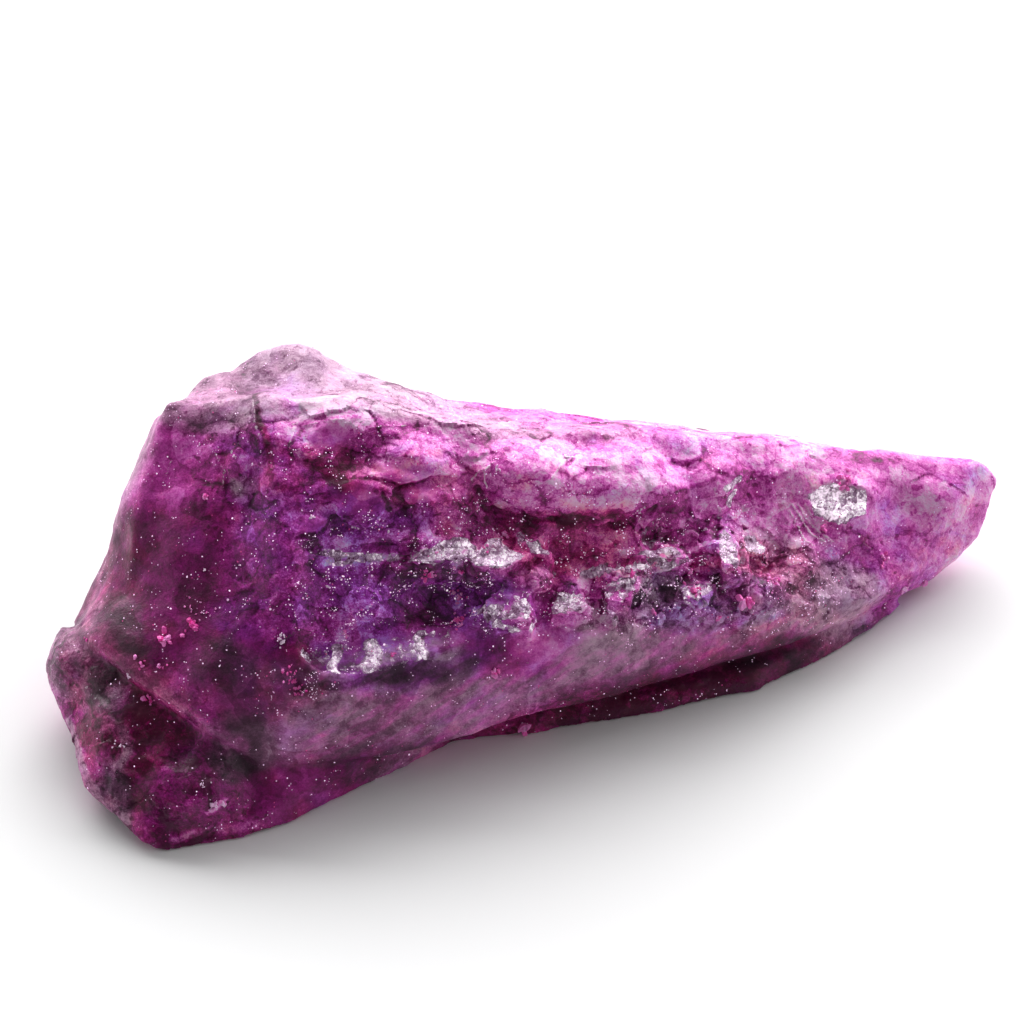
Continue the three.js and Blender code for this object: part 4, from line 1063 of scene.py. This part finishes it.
    powder = calc(tree, "MAXIMUM", *(dusted(*values) for values in powderSpecks))
    colour = mixed(tree, dusted(*pinkSpecks), colour, crumbColour)
    colour = mixed(tree, powder, colour, powderColour)
    tree.links.new(colour, shader.inputs["Base Color"])

    # powder and the brightest faces glow by emission: painted glints
    paintedPowderGlint = product(tree, powder, ramp(tree, fine, 0.36, 0.66, 0.04, 0.95))
    paintedFaceGlint = ramp(tree, total(tree, bareTone, swing(grit, 1)), 0.56, 1.05, 0, 0.75)
    paintedGlint = total(tree, paintedPowderGlint, product(tree, bareShare, paintedFaceGlint))
    tree.links.new(scaled(tree, paintedGlintColour, paintedGlint), shader.inputs["Emission Color"])
    shader.inputs["Emission Strength"].default_value = 1
    material.cycles.emission_sampling = "NONE"

    rough = total(
        tree, ramp(tree, middle, 0.3, 0.75, 0.24, 0.48), product(tree, masks["hollow"], 0.2),
        product(tree, powder, 0.3), product(tree, smoothGround, 0.12), product(tree, bareShare, -0.12),
    )
    tree.links.new(calc(tree, "ADD", rough, 0, clamp=True), shader.inputs["Roughness"])
    shader.inputs["IOR"].default_value = 1.5
    tree.links.new(ramp(tree, bareShare, 0, 1, 0.32, 0.8), shader.inputs["Specular IOR Level"])
    faceRelief = product(tree, slope, ramp(tree, masks["bare"], 0.3, 0.6, 0, 3))
    grain = total(tree, product(tree, fine, 0.8), faceRelief)
    bump = add(tree, "ShaderNodeBump", {"Height": grain, "Strength": 0.6, "Distance": 0.14 * mm})
    tree.links.new(bump.outputs["Normal"], shader.inputs["Normal"])
    return material


stonePiece.data.materials.append(stoneMaterial())
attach(stonePiece, "root")
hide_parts(stone["node"])
print("stone dressed")

# Loose grains and crumbs of dye, joined in one piece. Sizes and stretch are shares of a grain's radius.
dust = {
    "grain": 0.045, "uneven": 0.3, "perSquareMm": 0.3, "seed": 5, "stretch": 1.9, "sizes": (0.4, 2),
    "clumpNoise": (1.2, 3, 0.6, 47),
}


def dustTree(grain):
    tree, source = meshTree("dyeDust")

    def chance(seed, low, high):
        vector = isinstance(low, tuple)
        made = add(tree, "FunctionNodeRandomValue", data_type="FLOAT_VECTOR" if vector else "FLOAT")
        first, output = (0, 0) if vector else (2, 1)
        made.inputs[first].default_value = low
        made.inputs[first + 1].default_value = high
        made.inputs["Seed"].default_value = seed
        return made.outputs[output]

    # none lies on the underside
    upwards = ramp(tree, split(tree, add(tree, "GeometryNodeInputNormal").outputs[0])[2], -0.6, -0.1)
    place = scaled(tree, add(tree, "GeometryNodeInputPosition").outputs[0], 1 / mm)
    clumps = ramp(tree, noise(tree, place, *dust["clumpNoise"])["Fac"], 0.5, 0.7, 0.1, 2.2)
    density = product(tree, meshMask(tree, "dusting"), upwards, clumps, dust["perSquareMm"] / mm ** 2)
    points = add(
        tree, "GeometryNodeDistributePointsOnFaces",
        {"Mesh": source, "Density": density, "Seed": dust["seed"]}, distribute_method="RANDOM",
    )
    # most grains are small
    size = ramp(tree, calc(tree, "POWER", chance(1, 0, 1), 6), 0, 1, *dust["sizes"])
    stretch = chance(2, (1, 0.6, 0.5), (dust["stretch"], 1, 0.9))
    instances = add(
        tree, "GeometryNodeInstanceOnPoints",
        {
            "Points": points.outputs[0],
            "Instance": add(tree, "GeometryNodeObjectInfo", {"Object": grain}).outputs["Geometry"],
            "Rotation": chance(3, (0, 0, 0), (math.tau, math.tau, math.tau)),
            "Scale": scaled(tree, stretch, size),
        },
    )
    toned = add(
        tree, "GeometryNodeStoreNamedAttribute",
        {"Geometry": instances.outputs[0], "Name": "tone", "Value": chance(4, 0, 1)},
        data_type="FLOAT", domain="INSTANCE",
    )
    real = add(tree, "GeometryNodeRealizeInstances", {0: toned.outputs[0]})
    add(tree, "NodeGroupOutput", {0: real.outputs[0]})
    return tree


def roughBlob(radius, subdivisions, uneven, draw):
    blob = fresh(bpy.ops.mesh.primitive_ico_sphere_add, subdivisions=subdivisions, radius=radius * mm)
    for vertex in blob.data.vertices:
        vertex.co *= 1 + draw.uniform(-uneven, uneven)
    return blob


draw = random.Random(dust["seed"])
grain = roughBlob(dust["grain"], 1, dust["uneven"], draw)
dustPiece = copied("dyeDust", stonePiece.data)
applied(dustPiece, "NODES", node_group=dustTree(grain))
bpy.data.objects.remove(grain)
print("dust scattered:", len(dustPiece.data.polygons))

# Crumbs: tone (0 white, 0.5 rose, 1 hot pink), middle, how far they scatter, half their number, and size
crumbs = [
    (0.9, (-6.3, -1.3, 10.7), 0.45, 12, 0.16), (0.9, (-4.7, -0.7, 10.5), 0.4, 8, 0.14),
    (0.85, (-4.6, -1.9, 8.8), 0.4, 8, 0.13), (0.95, (-4.4, -3.6, 8.4), 0.45, 12, 0.15),
    (0.9, (-2.2, -5.9, 6.5), 0.2, 4, 0.24), (0.95, (13.4, -0.4, 6.2), 0.3, 4, 0.3),
    (1, (6.2, -0.3, 9.3), 0.2, 4, 0.14), (0.9, (7.6, -1.6, 7.1), 0.1, 2, 0.2),
    (0.9, (11.6, -1.2, 5.8), 0.25, 3, 0.16), (0.95, (10.2, -0.5, 7.6), 0.35, 6, 0.18),
    (0.9, (19.8, 7.6, 8.7), 0.4, 6, 0.22), (0.8, (18.4, 5, 7.1), 0.1, 2, 0.22),
    (0.9, (25.3, 5.4, 1.1), 0.1, 2, 0.25), (0.8, (-0.4, -5.7, 0.6), 0.25, 4, 0.32),
    (1, (-20.9, -4.4, 9.2), 0.35, 5, 0.2), (0.95, (-22.4, -5.1, 8.5), 0.3, 4, 0.22),
    (0.8, (-19.9, 2.1, 13.6), 0.2, 3, 0.2), (0.6, (23.9, 4.2, 1.9), 0.3, 4, 0.2),
    (0.95, (-23.8, -6.1, 7.5), 0.4, 3, 0.16), (0.95, (-14.7, -7.4, 8), 0.5, 10, 0.13),
    (0.95, (-14.2, -7.9, 7), 0.5, 8, 0.13), (0.95, (-8.5, -5.8, 8.1), 0.15, 4, 0.14),
    (0.7, (-11.4, -4.9, 8.9), 0.2, 4, 0.12), (0.95, (-23.5, -7.2, 5.3), 0.3, 4, 0.16),
    (0.9, (-22.7, -6.5, 7.6), 0.3, 3, 0.13), (0.95, (-27.6, -3.5, 6.5), 0.2, 3, 0.12),
    (0.9, (-2.9, -0.5, 11.9), 0.2, 3, 0.14), (0.7, (-1.7, 1, 11.4), 0.2, 5, 0.16),
    (0.1, (-24.7, -6.3, 6.6), 0.15, 3, 0.12), (0, (-20, -1.6, 11), 0.1, 2, 0.12),
    (0.1, (-15.2, -5.6, 9.3), 0.3, 4, 0.15), (0.1, (-10.8, -0.1, 13.1), 0.2, 3, 0.1),
    (0.1, (-13.5, 0.2, 14), 0.2, 3, 0.1), (0.2, (-2, 3.1, 15), 0.2, 3, 0.12),
    (0.1, (2.3, 4.6, 14.4), 0.3, 5, 0.12), (0.1, (6.7, 2.9, 11.4), 0.2, 3, 0.1),
    (0.1, (10.8, 3.4, 8.9), 0.1, 2, 0.12), (0.3, (-20.4, 5.1, 15), 0.2, 2, 0.08),
    (0.3, (-18.1, 3.9, 15.2), 0.2, 2, 0.1), (0.3, (-20.1, -12.4, 3.6), 0.3, 4, 0.09),
    (0.3, (-25.2, -9.8, 4.1), 0.3, 4, 0.1), (0.5, (-19.2, -13.1, 2.3), 0.4, 6, 0.18),
    (0.8, (22.4, 4.8, 4.4), 0.4, 4, 0.18), (0.7, (10, 0.4, 7.8), 0.5, 10, 0.12),
    (0.7, (15.4, 1.2, 6.4), 0.7, 14, 0.12), (0.3, (7, -0.6, 8), 0.8, 14, 0.1),
    (0.6, (8.2, 3.1, 10), 0.5, 8, 0.09), (0.7, (-20.4, -3.6, 9.8), 0.9, 10, 0.08),
]
crumbForm = {
    "shapes": 6, "uneven": 0.25, "scatter": 0.6, "size": (0.3, 0.95), "tone": (-0.4, 0.1), "raised": 0.3,
    "sides": [(0.9, 1.7), (0.7, 1), (0.5, 0.9)],
}
crumbShapes = [roughBlob(1, 2, crumbForm["uneven"], draw) for _ in range(crumbForm["shapes"])]
crumbPieces = []
for tone, middle, reach, count, size in crumbs:
    for _ in range(2 * count):
        shift = Vector([draw.gauss(0, reach * crumbForm["scatter"]) for _ in range(3)])
        _, place, normal, _ = stonePiece.closest_point_on_mesh((Vector(middle) + shift) * mm)
        radius = size * draw.uniform(*crumbForm["size"])
        turn = Euler([draw.uniform(0, math.tau) for _ in range(3)]).to_matrix()
        sides = Matrix.Diagonal([draw.uniform(*ends) for ends in crumbForm["sides"]])
        crumb = copied("crumb", draw.choice(crumbShapes).data)
        crumb.data.transform((turn @ sides * radius).to_4x4())
        crumb.data.transform(Matrix.Translation(place + normal * radius * crumbForm["raised"] * mm))
        crumbTone = tone + draw.uniform(*crumbForm["tone"])
        storeMask(crumb, "tone", np.full(len(crumb.data.vertices), crumbTone))
        crumbPieces.append(crumb)
for shape in crumbShapes:
    bpy.data.objects.remove(shape)
pick(dustPiece, *crumbPieces)
bpy.ops.object.join()
keepInBox(dustPiece)
print("crumbs laid:", len(dustPiece.data.polygons))

# from the palest grains to the most vivid
dustColours = [
    (0, (1, 0.76, 0.97)), (0.3, (1, 0.5, 0.9)), (0.55, (1, 0.3, 0.76)), (0.8, (1, 0.15, 0.6)),
    (1, (0.95, 0.07, 0.46)),
]


def dustMaterial():
    material, tree, shader = newMaterial("dyeDustGrains")
    place = scaled(tree, add(tree, "ShaderNodeTexCoord").outputs["Object"], 1 / mm)
    mottle = noise(tree, place, 0.2, 3, 0.6)["Fac"]
    toned = total(tree, colourMask(tree, "tone"), centred(tree, mottle, 0.5))
    tree.links.new(colourRamp(tree, toned, dustColours), shader.inputs["Base Color"])
    tree.links.new(ramp(tree, mottle, 0.3, 0.7, 0.25, 0.5), shader.inputs["Roughness"])
    bump = add(tree, "ShaderNodeBump", {"Height": mottle, "Strength": 0.3, "Distance": 0.05 * mm})
    tree.links.new(bump.outputs["Normal"], shader.inputs["Normal"])
    return material


dustPiece.data.materials.clear()
dustPiece.data.materials.append(dustMaterial())
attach(dustPiece, "root")
print("dust dressed")

# table, light and camera
table = {"size": 1600, "colour": (0.93, 0.93, 0.935, 1), "rough": 0.7}
tablePiece = fresh(bpy.ops.mesh.primitive_plane_add, size=table["size"] * mm, location=(0, 0, 0))
tablePiece.name = "whiteTable"
tableMaterial, _, tableShader = newMaterial("tableWhite")
tableShader.inputs["Base Color"].default_value = table["colour"]
tableShader.inputs["Roughness"].default_value = table["rough"]
tablePiece.data.materials.append(tableMaterial)

window = {"from": (60, 480, 345), "size": (1300, 300), "power": 9.8, "aim": 6}
windowPiece = fresh(bpy.ops.object.light_add, type="AREA", location=Vector(window["from"]) * mm)
windowPiece.name = "window"
windowPiece.data.shape = "RECTANGLE"
windowPiece.data.size, windowPiece.data.size_y = (side * mm for side in window["size"])
windowPiece.data.energy = window["power"]
towards = Vector((0, 0, window["aim"] * mm)) - windowPiece.location
windowPiece.rotation_euler = towards.to_track_quat("-Z", "Y").to_euler()

# the room is bright all round, most of all at both ends, and darker above the camera's side
room = {
    "sides": 0.44, "front": 0.06, "frontal": (0.2, 0.9), "ends": 0.45, "sideways": (0.5, 0.95),
    "darkest": (0, -0.8, 0.6),
}
world = bpy.data.worlds.new("room")
world.use_nodes = True
roomTree = world.node_tree
towards = add(roomTree, "ShaderNodeTexCoord").outputs["Generated"]
frontal = vectorCalc(roomTree, "DOT_PRODUCT", towards, room["darkest"])
sideways = calc(roomTree, "ABSOLUTE", split(roomTree, towards)[0])
strength = total(
    roomTree, ramp(roomTree, frontal, *room["frontal"], room["sides"], room["front"]),
    ramp(roomTree, sideways, *room["sideways"], 0, room["ends"]),
)
roomTree.links.new(strength, roomTree.nodes["Background"].inputs["Strength"])
roomTree.nodes["Background"].inputs["Color"].default_value = (1, 1, 1, 1)
scene.world = world

eye = {"target": (-1.23, 5.6, 8), "distance": 260, "elevation": 50, "lens": 145.3, "sensor": 36, "clip": 10}
elevation = math.radians(eye["elevation"])
back = Vector((0, -math.cos(elevation), math.sin(elevation)))
target = Vector(eye["target"]) * mm
camera = fresh(bpy.ops.object.camera_add, location=target + back * eye["distance"] * mm)
camera.rotation_euler = (-back).to_track_quat("-Z", "Y").to_euler()
camera.data.lens = eye["lens"]
camera.data.sensor_width = eye["sensor"]
camera.data.clip_start = eye["clip"] * mm
scene.camera = camera
scene.view_settings.view_transform = "Standard"
print("table, light and camera placed")
